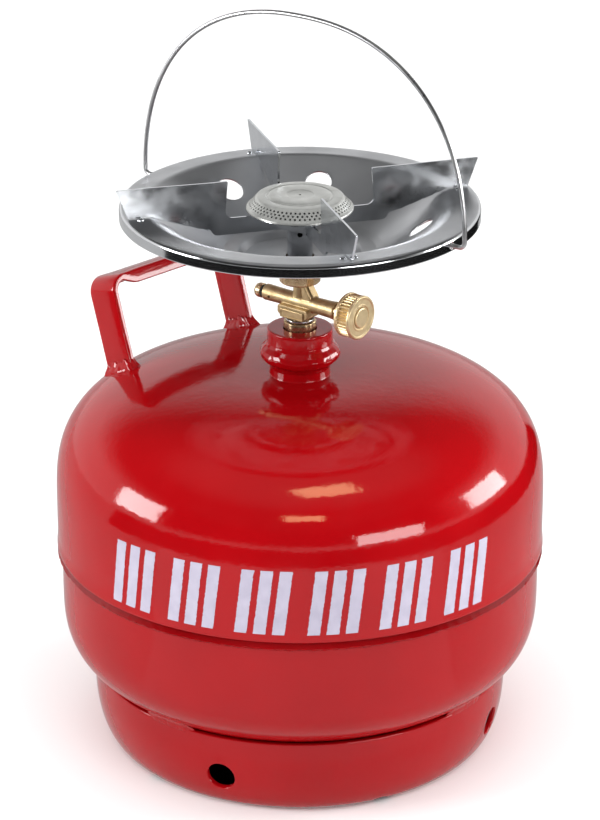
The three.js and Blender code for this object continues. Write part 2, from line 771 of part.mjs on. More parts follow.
const tankValveGroup = new THREE.Group();
add(tankValveGroup, "tank_valve", brass, tankValve());
add(tankValveGroup, "valve_poppet", brass, valvePoppet());
add(tankValveGroup, "poppet_spring", springSteel, helix(2.9, 0.35, 174.9, 177.5, 2));
add(tankValveGroup, "spring_retainer", brass, ring(1.4, 4.7, 172.6, 174.1));
add(tankValveGroup, "stub_seal", blackRubber, ring(2.2, 4.5, SEAT_Z + 3.3, STUB_BASE_Z - GAP));

const tap = new THREE.Group();
tap.rotation.z = TAP_AZIMUTH * DEGREE;
add(tap, "sealing_washer", zincPlate, ring(STUB_RADIUS + GAP, 6.3, VALVE_TOP_Z + GAP, 202.2, 24));
add(tap, "tap_body", brass, tapBody());
add(tap, "gland_nut", brass, glandNut());
add(tap, "spindle", brass, spindle());
add(tap, "spindle_seal", blackRubber, spindleSeal());
add(tap, "knob", brass, knob());
add(tap, "knob_screw", zincPlate, knobScrew());
add(tap, "knob_cap", brass, knobCap());
add(tap, "relief_plug", brass, reliefPlug());
add(tap, "relief_seal", blackRubber, reliefSeal());
add(tap, "relief_spring", springSteel, reliefSpring());
add(tap, "relief_piston", brass, reliefPiston());

const burner = new THREE.Group();
add(burner, "burner_hub", brass, burnerHub());
add(burner, "jet_nozzle", brass, jetNozzle());
add(burner, "mixing_tube", zincPlate, mixingTube());
add(burner, "wind_shield_dish", polishedSteel, windShieldDish());
add(burner, "burner_base", zincPlate, burnerBase());
add(burner, "burner_cap", zincPlate, burnerCap());
add(burner, "pot_support_right_back", zincPlate, potSupport(SUPPORT_AZIMUTH));
add(burner, "pot_support_left_front", zincPlate, potSupport(SUPPORT_AZIMUTH + 180));
for (let i = 0; i < 4; i += 1) {
  add(burner, "foot_spot_" + (2 * i + 1), zincPlate, footSpot(SUPPORT_AZIMUTH + 90 * i, -1));
  add(burner, "foot_spot_" + (2 * i + 2), zincPlate, footSpot(SUPPORT_AZIMUTH + 90 * i, 1));
}
add(burner, "wire_bail", springSteel, wireBail());

const propaneCylinder = new THREE.Group();
propaneCylinder.add(cylinder, tankValveGroup, tap, burner);

export default propaneCylinder;
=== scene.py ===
"""The looks of a small propane cylinder with a screw-on camping burner, in millimetres."""
import math

import bmesh
import bpy
import numpy as np
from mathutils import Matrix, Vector, noise


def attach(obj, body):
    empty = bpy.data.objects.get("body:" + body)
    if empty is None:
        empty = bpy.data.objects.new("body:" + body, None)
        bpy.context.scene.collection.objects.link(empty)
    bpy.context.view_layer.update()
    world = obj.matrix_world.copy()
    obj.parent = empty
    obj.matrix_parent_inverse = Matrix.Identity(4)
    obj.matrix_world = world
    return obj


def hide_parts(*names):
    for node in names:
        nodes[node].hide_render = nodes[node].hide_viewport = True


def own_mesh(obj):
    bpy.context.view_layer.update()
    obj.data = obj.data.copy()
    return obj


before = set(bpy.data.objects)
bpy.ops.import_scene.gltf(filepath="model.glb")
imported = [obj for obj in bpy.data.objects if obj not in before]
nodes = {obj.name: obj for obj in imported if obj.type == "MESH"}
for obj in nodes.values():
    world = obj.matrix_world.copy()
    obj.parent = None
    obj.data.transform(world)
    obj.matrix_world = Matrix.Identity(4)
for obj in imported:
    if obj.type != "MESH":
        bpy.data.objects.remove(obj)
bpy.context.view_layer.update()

MM = 0.001


# ------------------------------------------------ outlines and solids, in millimetres

def polar(radius, azimuth, z=0.0):
    a = math.radians(azimuth)
    return np.array([radius * math.cos(a), radius * math.sin(a), z])


def fillet(outline, steps=4, closed=True):
    """Rounds each corner (x, y, radius) of an outline; a corner without a radius stays sharp."""
    out = []
    count = len(outline)
    for i, corner in enumerate(outline):
        p = np.array(corner[:2], float)
        radius = corner[2] if len(corner) > 2 else 0
        inner = closed or 0 < i < count - 1
        if radius <= 0 or not inner:
            out.append(tuple(p))
            continue
        a = np.array(outline[i - 1][:2], float) - p
        b = np.array(outline[(i + 1) % count][:2], float) - p
        la, lb = np.linalg.norm(a), np.linalg.norm(b)
        a, b = a / la, b / lb
        angle = math.acos(max(-1, min(1, float(a @ b))))
        if angle > math.pi - 0.02:
            out.append(tuple(p))
            continue
        reach = min(radius / math.tan(angle / 2), 0.49 * la, 0.49 * lb)
        radius = reach * math.tan(angle / 2)
        middle = (a + b) / np.linalg.norm(a + b)
        centre = p + middle * radius / math.sin(angle / 2)
        start = p + a * reach - centre
        end = p + b * reach - centre
        first = math.atan2(start[1], start[0])
        turn = (math.atan2(end[1], end[0]) - first + math.pi) % (2 * math.pi) - math.pi
        for k in range(steps + 1):
            t = first + turn * k / steps
            out.append((centre[0] + radius * math.cos(t), centre[1] + radius * math.sin(t)))
    return out


def thinned(rows, gap, keep=None):
    """Ascending rows without those closer than gap to the one before; keep always stays."""
    merged = [rows[0]]
    for s in rows[1:]:
        if s - merged[-1] > gap or s == keep:
            merged.append(s)
    return merged


def nearest_row(rows, length):
    return min(range(len(rows)), key=lambda j: abs(rows[j] - length))


def lathe(profile, segments, shape=None):
    """A closed (radius, z) profile turned about Z; shape(r, z, radians) may move a point."""
    rows = len(profile)
    verts = []
    for i in range(segments):
        a = 2 * math.pi * i / segments
        for r, z in profile:
            if shape:
                r, z = shape(r, z, a)
            verts.append((r * math.cos(a), r * math.sin(a), z))
    faces = []
    for i in range(segments):
        n = (i + 1) % segments
        for j in range(rows):
            k = (j + 1) % rows
            faces.append((i * rows + j, n * rows + j, n * rows + k, i * rows + k))
    return verts, faces


def swept(stations, closed=False):
    """A tube through stations, each a ring of the same number of points; capped when not closed."""
    count = len(stations[0])
    verts = [tuple(p) for ring in stations for p in ring]
    faces = []
    last = len(stations) if closed else len(stations) - 1
    for i in range(last):
        n = (i + 1) % len(stations)
        for j in range(count):
            k = (j + 1) % count
            faces.append((i * count + j, n * count + j, n * count + k, i * count + k))
    if not closed:
        faces.append(tuple(range(count - 1, -1, -1)))
        faces.append(tuple((len(stations) - 1) * count + j for j in range(count)))
    return verts, faces


def prism(outline, depth_from, depth_to, place):
    """An outline in a plane between two depths; place(x, y, depth) gives the point."""
    return swept([[place(x, y, d) for x, y in outline] for d in (depth_from, depth_to)])


def joined(*shapes):
    verts, faces = [], []
    for v, f in shapes:
        base = len(verts)
        verts += list(v)
        faces += [tuple(base + i for i in face) for face in f]
    return verts, faces


def moved(shape, place):
    verts, faces = shape
    return [tuple(place(*v)) for v in verts], faces


def wander(seed, count=14, low=3, high=60):
    """A seeded, smooth, periodic function of an angle, about -1 to 1."""
    rng = np.random.default_rng(seed)
    waves = rng.integers(low, high, count)
    phases = rng.uniform(0, 2 * math.pi, count)
    sizes = rng.uniform(0.4, 1.0, count)
    sizes /= sizes.sum() * 0.6
    return lambda a: float(np.sum(sizes * np.sin(waves * a + phases)))


def lumps(x, y, z, scale, seed=0.0):
    return noise.noise(Vector((x * scale + seed, y * scale - seed, z * scale + 2 * seed)))


# ------------------------------------------------ objects

def make(name, shape, material, body, replaced=(), sharp=35, modifiers=()):
    verts, faces = shape
    mesh = bpy.data.meshes.new(name)
    mesh.from_pydata([(x * MM, y * MM, z * MM) for x, y, z in verts], [], faces)
    work = bmesh.new()
    work.from_mesh(mesh)
    bmesh.ops.remove_doubles(work, verts=work.verts, dist=1e-7)
    bmesh.ops.dissolve_degenerate(work, edges=work.edges, dist=1e-8)
    bmesh.ops.recalc_face_normals(work, faces=work.faces)
    work.to_mesh(mesh)
    work.free()
    obj = bpy.data.objects.new(name, mesh)
    bpy.context.scene.collection.objects.link(obj)
    if modifiers:
        for kind, settings in modifiers:
            modifier = obj.modifiers.new(kind.lower(), kind)
            for key, value in settings.items():
                setattr(modifier, key, value)
        bpy.context.view_layer.update()
        graph = bpy.context.evaluated_depsgraph_get()
        baked = bpy.data.meshes.new_from_object(obj.evaluated_get(graph), depsgraph=graph)
        obj.modifiers.clear()
        obj.data = baked
        baked.name = name
    obj.data.materials.clear()
    obj.data.materials.append(material)
    obj.data.shade_smooth()
    obj.data.set_sharp_from_angle(angle=math.radians(sharp))
    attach(obj, body)
    if replaced:
        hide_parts(*replaced)
    return obj


def thick(thickness):
    """A modifier that gives a middle surface its thickness."""
    return "SOLIDIFY", {"thickness": thickness * MM, "offset": 0.0}


def sheet(thickness, rim, segments=2):
    """Modifiers that give a middle surface its thickness and round its cut edges."""
    return (
        thick(thickness),
        ("BEVEL", {"width": rim * MM, "segments": segments, "limit_method": "ANGLE",
                   "angle_limit": math.radians(50), "use_clamp_overlap": False}),
    )


def along(profile):
    """Arc length along a (radius, z) profile, and a lookup of its point at a length."""
    points = np.array(profile, float)
    lengths = np.concatenate([[0], np.cumsum(np.linalg.norm(np.diff(points, axis=0), axis=1))])

    def find(s):
        return np.interp(s, lengths, points[:, 0]), np.interp(s, lengths, points[:, 1])

    return lengths, find


def pierced(profile, rows, columns, holes, start=0.0, loops=2, shape=None):
    """A turned sheet with round holes, as a grid whose cells make room for each hole.

    rows are lengths along the profile. A hole is (azimuth, length, radius, half its columns, its
    first row, its last row). If its first row is negative, it is a notch in the sheet's first edge.
    """
    _, find = along(profile)
    step = 360 / columns

    def place(u, s):
        r, z = find(s)
        if shape:
            r, z = shape(r, z, math.radians(start + u * step))
        return tuple(polar(r, start + u * step, z))

    verts = [place(u, s) for u in range(columns) for s in rows]
    index = lambda u, j: (u % columns) * len(rows) + j
    taken = set()
    faces = []
    for azimuth, centre, radius, half, low, high in holes:
        middle = (azimuth - start) / step
        left, right = round(middle) - half, round(middle) + half
        notch = low < 0
        low = max(low, 0)
        border = [(left, j) for j in range(low, high)] + [(u, high) for u in range(left, right)]
        border += [(right, j) for j in range(high, low, -1)]
        border += [(right, low)] if notch else [(u, low) for u in range(right, left, -1)]
        taken.update((u % columns, j) for u in range(left, right) for j in range(low, high))
        width = math.radians(step) * find(centre)[0]
        rings = [[index(u, j) for u, j in border]]
        for k in range(1, loops + 1):
            t = k / loops
            ring = []
            for u, j in border:
                x, y = (u - middle) * width, rows[j] - centre
                far = math.hypot(x, y)
                reach = far + (radius - far) * t
                ring.append(len(verts))
                s = centre + y / far * reach
                u_moved = middle + x / far * reach / width * find(centre)[0] / find(s)[0]
                verts.append(place(u_moved, s))
            rings.append(ring)
        for outer, inner in zip(rings, rings[1:]):
            count = len(outer)
            for i in range(count - 1 if notch else count):
                n = (i + 1) % count
                faces.append((outer[i], outer[n], inner[n], inner[i]))
    for u in range(columns):
        for j in range(len(rows) - 1):
            if (u, j) not in taken:
                faces.append((index(u, j), index(u + 1, j),
                              index(u + 1, j + 1), index(u, j + 1)))
    used = sorted({i for face in faces for i in face})
    renumber = {old: new for new, old in enumerate(used)}
    return [verts[i] for i in used], [tuple(renumber[i] for i in face) for face in faces]


# ------------------------------------------------ materials

def noise_texture(tree, scale, detail):
    coords = tree.nodes.new("ShaderNodeTexCoord")
    texture = tree.nodes.new("ShaderNodeTexNoise")
    texture.inputs["Scale"].default_value = scale
    texture.inputs["Detail"].default_value = detail
    tree.links.new(coords.outputs["Object"], texture.inputs["Vector"])
    return texture


def spread(tree, source, low, high):
    """Noise, which lies mostly between 0.3 and 0.7, stretched to run from low to high."""
    ramp = tree.nodes.new("ShaderNodeMapRange")
    ramp.inputs["From Min"].default_value = 0.3
    ramp.inputs["From Max"].default_value = 0.7
    ramp.inputs["To Min"].default_value = low
    ramp.inputs["To Max"].default_value = high
    tree.links.new(source, ramp.inputs["Value"])
    return ramp.outputs["Result"]


def surface(name, colours, colour_scale, roughness, rough_scale, bumps, **sockets):
    """A shader whose colour and roughness vary with noise; each bump is (scale, height in mm)."""
    material = bpy.data.materials.new(name)
    material.use_nodes = True
    tree = material.node_tree
    shader = tree.nodes["Principled BSDF"]
    for socket, value in sockets.items():
        shader.inputs[socket.replace("_", " ").title().replace("Ior", "IOR")].default_value = value

    mix = tree.nodes.new("ShaderNodeMix")
    mix.data_type = "RGBA"
    mix.inputs["A"].default_value = (*colours[0], 1)
    mix.inputs["B"].default_value = (*colours[1], 1)
    tint = noise_texture(tree, colour_scale, 4.0)
    tree.links.new(spread(tree, tint.outputs["Fac"], 0, 1), mix.inputs["Factor"])
    rough = noise_texture(tree, rough_scale, 4.0)
    tree.links.new(spread(tree, rough.outputs["Fac"], *roughness), shader.inputs["Roughness"])
    tree.links.new(mix.outputs["Result"], shader.inputs["Base Color"])

    normal = None
    for scale, height in bumps:
        texture = noise_texture(tree, scale, 2.0)
        bump = tree.nodes.new("ShaderNodeBump")
        bump.inputs["Strength"].default_value = 1.0
        bump.inputs["Distance"].default_value = height * MM
        tree.links.new(texture.outputs["Fac"], bump.inputs["Height"])
        if normal:
            tree.links.new(normal, bump.inputs["Normal"])
        normal = bump.outputs["Normal"]
    if normal:
        tree.links.new(normal, shader.inputs["Normal"])
    return material


red_paint = surface("red_paint", ((0.33, 0.0018, 0.004), (0.29, 0.0012, 0.003)), 25,
                    (0.06, 0.11), 60, ((420, 0.045), (55, 0.10)), ior=1.5)
white_paint = surface("white_paint", ((0.47, 0.44, 0.54), (0.40, 0.37, 0.47)), 160,
                      (0.35, 0.55), 200, ((900, 0.03),))
cast_brass = surface("cast_brass", ((0.56, 0.43, 0.24), (0.42, 0.30, 0.155)), 260,
                     (0.34, 0.50), 500, ((1600, 0.03), (420, 0.05)), metallic=0.85)
turned_brass = surface("turned_brass", ((0.66, 0.49, 0.30), (0.54, 0.38, 0.21)), 220,
                       (0.18, 0.30), 400, ((1500, 0.006),), metallic=0.9)
knob_brass = surface("knob_brass", ((0.82, 0.66, 0.40), (0.70, 0.55, 0.31)), 300,
                     (0.32, 0.46), 500, ((1800, 0.02),), metallic=0.8)
zinc = surface("zinc", ((0.78, 0.80, 0.83), (0.68, 0.70, 0.73)), 120,
               (0.12, 0.24), 140, ((60, 0.03),), metallic=1.0)
burner_steel = surface("burner_steel", ((0.64, 0.645, 0.62), (0.55, 0.555, 0.53)), 200,
                       (0.28, 0.42), 260, ((500, 0.012),), metallic=0.7)
dish_steel = surface("dish_steel", ((0.80, 0.81, 0.83), (0.71, 0.72, 0.74)), 40,
                     (0.32, 0.42), 70, ((28, 0.02), (700, 0.004)), metallic=1.0)
# The dish's skirt, beyond this radius in metres, is smoother than its bowl.
SKIRT_FROM, SKIRT_ROUGHNESS = 0.0788, 0.12
dish_tree = dish_steel.node_tree
dish_shader = dish_tree.nodes["Principled BSDF"]
dish_coords = dish_tree.nodes.new("ShaderNodeTexCoord")
flattened = dish_tree.nodes.new("ShaderNodeVectorMath")
flattened.operation = "MULTIPLY"
flattened.inputs[1].default_value = (1, 1, 0)
distance = dish_tree.nodes.new("ShaderNodeVectorMath")
distance.operation = "LENGTH"
beyond = dish_tree.nodes.new("ShaderNodeMapRange")
beyond.inputs["From Min"].default_value = SKIRT_FROM
beyond.inputs["From Max"].default_value = SKIRT_FROM + 0.0005
smoother = dish_tree.nodes.new("ShaderNodeMix")
smoother.inputs["B"].default_value = SKIRT_ROUGHNESS
dish_tree.links.new(dish_coords.outputs["Object"], flattened.inputs[0])
dish_tree.links.new(flattened.outputs["Vector"], distance.inputs[0])
dish_tree.links.new(distance.outputs["Value"], beyond.inputs["Value"])
dish_tree.links.new(beyond.outputs["Result"], smoother.inputs["Factor"])
dish_tree.links.new(dish_shader.inputs["Roughness"].links[0].from_socket, smoother.inputs["A"])
dish_tree.links.new(smoother.outputs["Result"], dish_shader.inputs["Roughness"])
wire_steel = surface("wire_steel", ((0.74, 0.74, 0.75), (0.60, 0.60, 0.61)), 120,
                     (0.26, 0.36), 200, ((900, 0.003),), metallic=1.0)
rubber = surface("rubber", ((0.02, 0.02, 0.02), (0.035, 0.032, 0.03)), 400,
                 (0.55, 0.8), 600, ((1500, 0.03),))


# ------------------------------------------------ cylinder

UPPER_RADIUS = 111.0
EDGE_Z = 95.2
FLARE, FLARE_LENGTH = 0.45, 6.0
DOME_Z, DOME_HEIGHT, DOME_EXPONENT = 116.1, 59.6, 3.23
LOWER_RADIUS = 109.3
BOWL_Z, BOWL_HEIGHT, BOWL_EXPONENT = 73.6, 49.0, 3.1
WALL = 2.5
NECK_HOLE = 11.6
LIP_TOP = 103
ROUND = 256


def head(radius, z, height, exponent, hole, steps):
    """Half of a domed head from its widest point at z to a hole's radius, as a superellipse."""
    end = math.acos((hole / radius) ** (exponent / 2))
    out = []
    for i in range(steps + 1):
        t = end * i / steps
        out.append((radius * math.cos(t) ** (2 / exponent),
                    z + height * math.sin(t) ** (2 / exponent)))
    return out


def head_radius(z, radius, start, height, exponent):
    rise = (z - start) / height
    return radius * max(0.0, 1 - max(0.0, rise) ** exponent) ** (1 / exponent)


def dome_radius(z):
    return head_radius(z, UPPER_RADIUS, DOME_Z, DOME_HEIGHT, DOME_EXPONENT)


def dome_height(r):
    share = max(0.0, 1 - (r / UPPER_RADIUS) ** DOME_EXPONENT)
    return DOME_Z + DOME_HEIGHT * share ** (1 / DOME_EXPONENT)


def bowl_radius(z):
    """The lower shell's radius at a height below BOWL_Z."""
    return head_radius(2 * BOWL_Z - z, LOWER_RADIUS, BOWL_Z, BOWL_HEIGHT, BOWL_EXPONENT)


def flare(z):
    """How far the upper shell is belled out near its edge."""
    t = (z - EDGE_Z) / FLARE_LENGTH
    return 0.0 if t > 1 else FLARE * (0.5 + 0.5 * math.cos(math.pi * t))


def dented(r, z, a):
    """The slight unevenness of a drawn and welded shell."""
    x, y = r * math.cos(a), r * math.sin(a)
    return r + 0.12 * lumps(x, y, z, 0.022, 3.0) + 0.03 * lumps(x, y, z, 0.07, 9.0), z


wall = [(UPPER_RADIUS + flare(z), z) for z in np.linspace(EDGE_Z + 0.5, DOME_Z - 1, 22)]
upper_outside = wall + head(UPPER_RADIUS, DOME_Z, DOME_HEIGHT, DOME_EXPONENT, NECK_HOLE, 70)
upper_inside = head(UPPER_RADIUS - WALL, DOME_Z, DOME_HEIGHT - WALL, DOME_EXPONENT, NECK_HOLE, 24)
upper_profile = upper_outside + upper_inside[::-1] + [
    (UPPER_RADIUS - WALL, EDGE_Z + 0.4), (UPPER_RADIUS - WALL + 0.5, EDGE_Z),
    (UPPER_RADIUS - 0.1, EDGE_Z), (UPPER_RADIUS + 0.27, EDGE_Z + 0.14)]
make("upper_shell_skin", lathe(upper_profile, ROUND, dented), red_paint, "cylinder",
     ["upper_shell"], sharp=50)

lower_wall = [(LOWER_RADIUS, z) for z in np.linspace(EDGE_Z - 0.3, BOWL_Z + 1, 12)]
lower_outside = lower_wall + head(LOWER_RADIUS, BOWL_Z, -BOWL_HEIGHT, BOWL_EXPONENT, 0.01, 60)
lower_inside = head(LOWER_RADIUS - WALL, BOWL_Z, WALL - BOWL_HEIGHT, BOWL_EXPONENT, 0.01, 20)[::-1]
LIP = UPPER_RADIUS - WALL - 0.3
lip = [(LIP - WALL, LIP_TOP), (LIP, LIP_TOP), (LIP, EDGE_Z - 0.3)]
lower_profile = lip + lower_outside + lower_inside + [(LIP - WALL, EDGE_Z - 4)]
make("lower_shell_skin", lathe(lower_profile, ROUND, dented), red_paint, "cylinder",
     ["lower_shell"], sharp=50)

# The girth weld: an uneven bead in the corner between the two shells.
creep = wander(11, low=4, high=40)
ripple = wander(12, low=60, high=260)
splash = wander(13, 24, low=30, high=150)


def beaded(r, z, a):
    if r < LOWER_RADIUS:
        return r, z
    low = min(1.0, max(0.0, (95.0 - z) / 3.6))
    out = 0.14 * ripple(a) + 0.10 * splash(a)
    down = 0.40 * creep(a) + 0.60 * splash(a + z)
    return r + low * out, z - low * down


bead = [(LOWER_RADIUS - 0.6, 95.5), (LOWER_RADIUS + 0.2, 95.3), (LOWER_RADIUS + 0.65, 94.55),
        (LOWER_RADIUS + 1.1, 93.8), (LOWER_RADIUS + 1.55, 93.05), (LOWER_RADIUS + 2.0, 92.3),
        (LOWER_RADIUS + 1.6, 91.9), (LOWER_RADIUS + 1.2, 91.5), (LOWER_RADIUS + 0.7, 91.0),
        (LOWER_RADIUS + 0.1, 90.7), (LOWER_RADIUS - 0.6, 90.4)]
make("girth_bead", lathe(bead, 1100, beaded), red_paint, "cylinder",
     ["girth_weld"], sharp=60)

# Foot ring: a rolled strip with four holes and five drain notches in its bottom edge.
FOOT_RADIUS, FOOT_TOP = 95.2, 37.0
FOOT_CURVE, FOOT_TUCK = 29.0, 9.4  # below this height the ring curves inward, by this much
FOOT_HOLE_Z, FOOT_HOLE_RADIUS, NOTCH_RADIUS = 17.0, 6.5, 4.6
foot_middle = []
for i in range(17):
    t = math.radians(-90 + 90 * i / 16)
    foot_middle.append((FOOT_RADIUS - FOOT_TUCK - WALL / 2 + FOOT_TUCK * math.cos(t),
                        WALL / 2 + (FOOT_CURVE - WALL / 2) * (1 + math.sin(t))))
foot_middle.append((FOOT_RADIUS - WALL / 2, FOOT_TOP))
foot_lengths, foot_find = along(foot_middle)
foot_rows = list(np.linspace(0, foot_lengths[-1], 22))
foot_samples = np.linspace(0, foot_lengths[-1], 400)
foot_heights = [foot_find(s)[1] for s in foot_samples]
hole_length = float(np.interp(FOOT_HOLE_Z, foot_heights, foot_samples))
nearest = round(hole_length / foot_rows[1])
foot_holes = [(-22 + 90 * i, hole_length, FOOT_HOLE_RADIUS, 5, nearest - 5, nearest + 5)
              for i in range(4)]
foot_holes += [(-65.4 + 72 * i, 0.0, NOTCH_RADIUS, 4, -1, 4) for i in range(5)]


def out_of_round(r, z, a):
    return r + 0.15 * lumps(r * math.cos(a), r * math.sin(a), z, 0.02, 5.0), z


foot_sheet = pierced(foot_middle, foot_rows, 340, foot_holes, shape=out_of_round)
make("foot_ring_skin", foot_sheet, red_paint, "cylinder", ["foot_ring"], sharp=60,
     modifiers=sheet(WALL, 0.55, 3))

# Fillet welds between the foot ring and the bowl, each tapering to its core at both ends.
core_r, core_z = 93.8, 36.4
for k in range(4):
    centre = -128 + 90 * k
    uneven = wander(20 + k, low=10, high=80)
    rings = []
    for i in range(61):
        u = i / 60
        a = centre - 8.5 + 17 * u
        end = min(1.0, 5 * min(u, 1 - u)) ** 0.5
        bulge = 0.35 * uneven(math.radians(a) * 8)
        ring = []
        section = (
            (93.6, 35.6), (95.25 + bulge * 0.4, 35.7 - 0.9 * end), (95.5 + bulge, 36.8),
            (bowl_radius(38.2) + 1.1 + bulge, 38.6 + bulge),
            (bowl_radius(40.2) + 0.15, 40.6 + bulge), (bowl_radius(39.0) - 0.8, 39.2))
        for r, z in section:
            share = 0.25 + 0.75 * end
            ring.append(polar(core_r + (r - core_r) * share, a, core_z + (z - core_z) * share))
        rings.append(ring)
    make(f"foot_tack_{k + 1}", swept(rings), red_paint, "cylinder",
         [f"foot_weld_{k + 1}"], sharp=80,
         modifiers=(("SUBSURF", {"levels": 1, "render_levels": 1}),))

# ------------------------------------------------ carry handle

chord = polar(1, 45)
outward = polar(1, 135)
lean = math.radians(18)
upward = outward * math.sin(lean) + np.array([0, 0, math.cos(lean)])
across = np.cross(chord, upward)
handle_base = outward * 78 + np.array([0, 0, 167.0])
SPAN, HEIGHT, WIDTH, THICK = 38.0, 42.0, 17.0, 3.0  # SPAN is half the distance between the legs


def in_handle(x, y, w):
    return handle_base + chord * x + upward * y + across * w


def strap_section(fold):
    """The strap's section as (width, depth inward): flat at fold 0, a shallow channel at fold 1."""
    half = WIDTH / 2
    fold = max(fold, 0.02)
    depth = THICK + 3.2 * fold
    corner = 0.6 + 1.6 * fold
    lip = half - 2.2 - 0.6 * (1 - fold)
    side = [(half, depth, 0.6), (lip, depth, 0.6 * fold + 0.15),
            (lip - 0.2, THICK, 0.5 * fold + 0.01)]
    crown = half - 0.7 * fold
    outline = [(-crown, 0, corner), (crown, 0, corner)] + side
    outline += [(-w, d, r) for w, d, r in reversed(side)]
    return fillet(outline, 4)


def strap_path():
    """Points, inward normals and fold amounts along the strap's outer face."""
    half = SPAN + THICK / 2
    corners = [(-half, -11.0), (-half, HEIGHT, 8.0), (half, HEIGHT, 8.0), (half, -11.0)]
    line = np.array(fillet(corners, 12, closed=False))
    dense = []
    for a, b in zip(line, line[1:]):
        parts = max(1, int(np.linalg.norm(b - a) / 1.2))
        dense += [a + (b - a) * i / parts for i in range(parts)]
    dense.append(line[-1])
    dense = np.array(dense)
    tangents = np.gradient(dense, axis=0)
    tangents /= np.linalg.norm(tangents, axis=1)[:, None]
    inward = np.stack([tangents[:, 1], -tangents[:, 0]], axis=1)
    folds = []
    for x, y in dense:
        t = 0.0 if y < HEIGHT - 1 else min(1.0, max(0.0, (34 - abs(x)) / 11.0))
        folds.append(t * t * (3 - 2 * t))
    return dense, inward, folds


rings = []
for (x, y), (nx, ny), fold in zip(*strap_path()):
    ring = []
    for w, d in strap_section(fold):
        wobble = 0.12 * lumps(x, y, w, 0.06, 2.0)
        ring.append(in_handle(x + nx * (d + wobble), y + ny * (d + wobble), w))
    rings.append(ring)
make("handle_strap", swept(rings), red_paint, "cylinder", ["carry_handle"], sharp=55)

# The runs of weld round the handle's feet, lying on the dome.
BEAD_SECTION = fillet([
    (-1.6, -2.0), (-1.6, 4.2, 0.5), (-0.7, 3.9, 0.8), (0.3, 2.2, 1.5), (1.6, 0.7, 1.0), (2.6, -0.9),
    (1.6, -2.2)], 3)
for side, name, seed in ((-1, "left", 31), (1, "right", 32)):
    rng = np.random.default_rng(seed)
    loop = fillet([(-2.5, -9.4, 2.2), (2.5, -9.4, 2.2), (2.5, 9.4, 2.2), (-2.5, 9.4, 2.2)], 6)
    loop = np.array(loop)
    ring_points = []
    for a, b in zip(loop, np.roll(loop, -1, axis=0)):
        parts = max(1, int(np.linalg.norm(b - a) / 0.7))
        ring_points += [a + (b - a) * i / parts for i in range(parts)]
    phase = rng.uniform(0, 6.28, 8)
    rings = []
    for i, (x, w) in enumerate(ring_points):
        u = 2 * math.pi * i / len(ring_points)
        size = (1 + 0.12 * math.sin(9 * u + phase[0]) + 0.10 * math.sin(17 * u + phase[1])
                + 0.12 * math.sin(5 * u + phase[2]))
        flat = in_handle(side * SPAN + x, 0, w)
        foot = flat
        for _ in range(4):
            far = math.hypot(foot[0], foot[1])
            foot = foot + upward * (dome_height(far) - foot[2]) / upward[2]
        out = np.array([x, w]) / max(1e-6, math.hypot(x, w))
        away = chord * out[0] + across * out[1]
        rings.append([foot + away * (size * p) + upward * (size * q if q > 0 else q)
                      for p, q in BEAD_SECTION])
    make(f"handle_bead_{name}", swept(rings, closed=True), red_paint, "cylinder",
         [f"handle_weld_{name}"], sharp=80)

# ------------------------------------------------ neck and tank valve

NECK_RING_Z = 186.0
puddle = wander(41, 10, 2, 9)
spatter = wander(42, 20, 8, 40)


def neck_shape(r, z, a):
    if r < 12:
        return r, z
    swell = max(0.0, 1 - abs(z - NECK_RING_Z) / 5.6)
    grain = 0.3 * lumps(r * math.cos(a), r * math.sin(a), z, 0.4, 7)
    out = 0.4 * puddle(a) + 0.14 * spatter(a) + grain
    return r + swell * out, z + swell * (0.5 * puddle(a + 1) + 0.12 * spatter(a + 2))


neck_profile = fillet([
    (7.3, 170), (11.3, 170), (11.3, 174.6), (14.7, 174.7), (13.7, 175.9, 1.0), (13.5, 179.4, 1.2),
    (14.6, 181.2, 1.0), (17.3, 183.6, 1.5), (18.2, 186.1, 1.7), (17.3, 188.1, 1.5),
    (15.5, 189.9, 1.2), (14.75, 191.2, 0.8), (14.7, 197.5, 0.6), (7.9, 197.5, 0.35),
    (7.3, 196.9)], 5)
dense_profile = []
for a, b in zip(neck_profile, neck_profile[1:] + neck_profile[:1]):
    parts = max(1, int(math.dist(a, b) / 0.9))
    dense_profile += [(a[0] + (b[0] - a[0]) * i / parts, a[1] + (b[1] - a[1]) * i / parts)
                      for i in range(parts)]
make("neck_casting", lathe(dense_profile, 160, neck_shape), red_paint, "cylinder",
     ["neck_boss", "neck_ring"], sharp=60)


def lobed(r, z, a):
    """Six shallow hollows round the valve's flange, above the neck's top."""
    if z < 197.6 or r < 6:
        return r, z
    return r - 0.55 * (0.5 - 0.5 * math.cos(6 * a)) ** 2, z


valve_profile = fillet([
    (5.0, 172.5), (6.9, 172.5), (6.9, 197.7), (7.35, 197.75, 0.25), (7.35, 200.9, 0.4),
    (5.0, 200.9, 0.3), (5.0, 184), (2.4, 184), (2.4, 181), (5.0, 181)], 4)
make("valve_seat_ring", lathe(valve_profile, 144, lobed), turned_brass, "cylinder",
     ["tank_valve"])

# ------------------------------------------------ tap

TAP_AZIMUTH = -38.0
BARREL_Z = 210.0
tap_x = polar(1, TAP_AZIMUTH)
tap_y = polar(1, TAP_AZIMUTH + 90)


def in_tap(x, y, z):
    return tap_x * x + tap_y * y + np.array([0, 0, z])


def on_barrel(profile, segments, shape=None):
    """A closed (distance along the barrel, radius) outline turned about the barrel's axis."""
    flipped = [(r, x) for x, r in profile]
    return moved(lathe(flipped, segments, shape), lambda x, y, z: in_tap(z, x, BARREL_Z + y))


def upright(x, z, d):
    return in_tap(x, d, z)


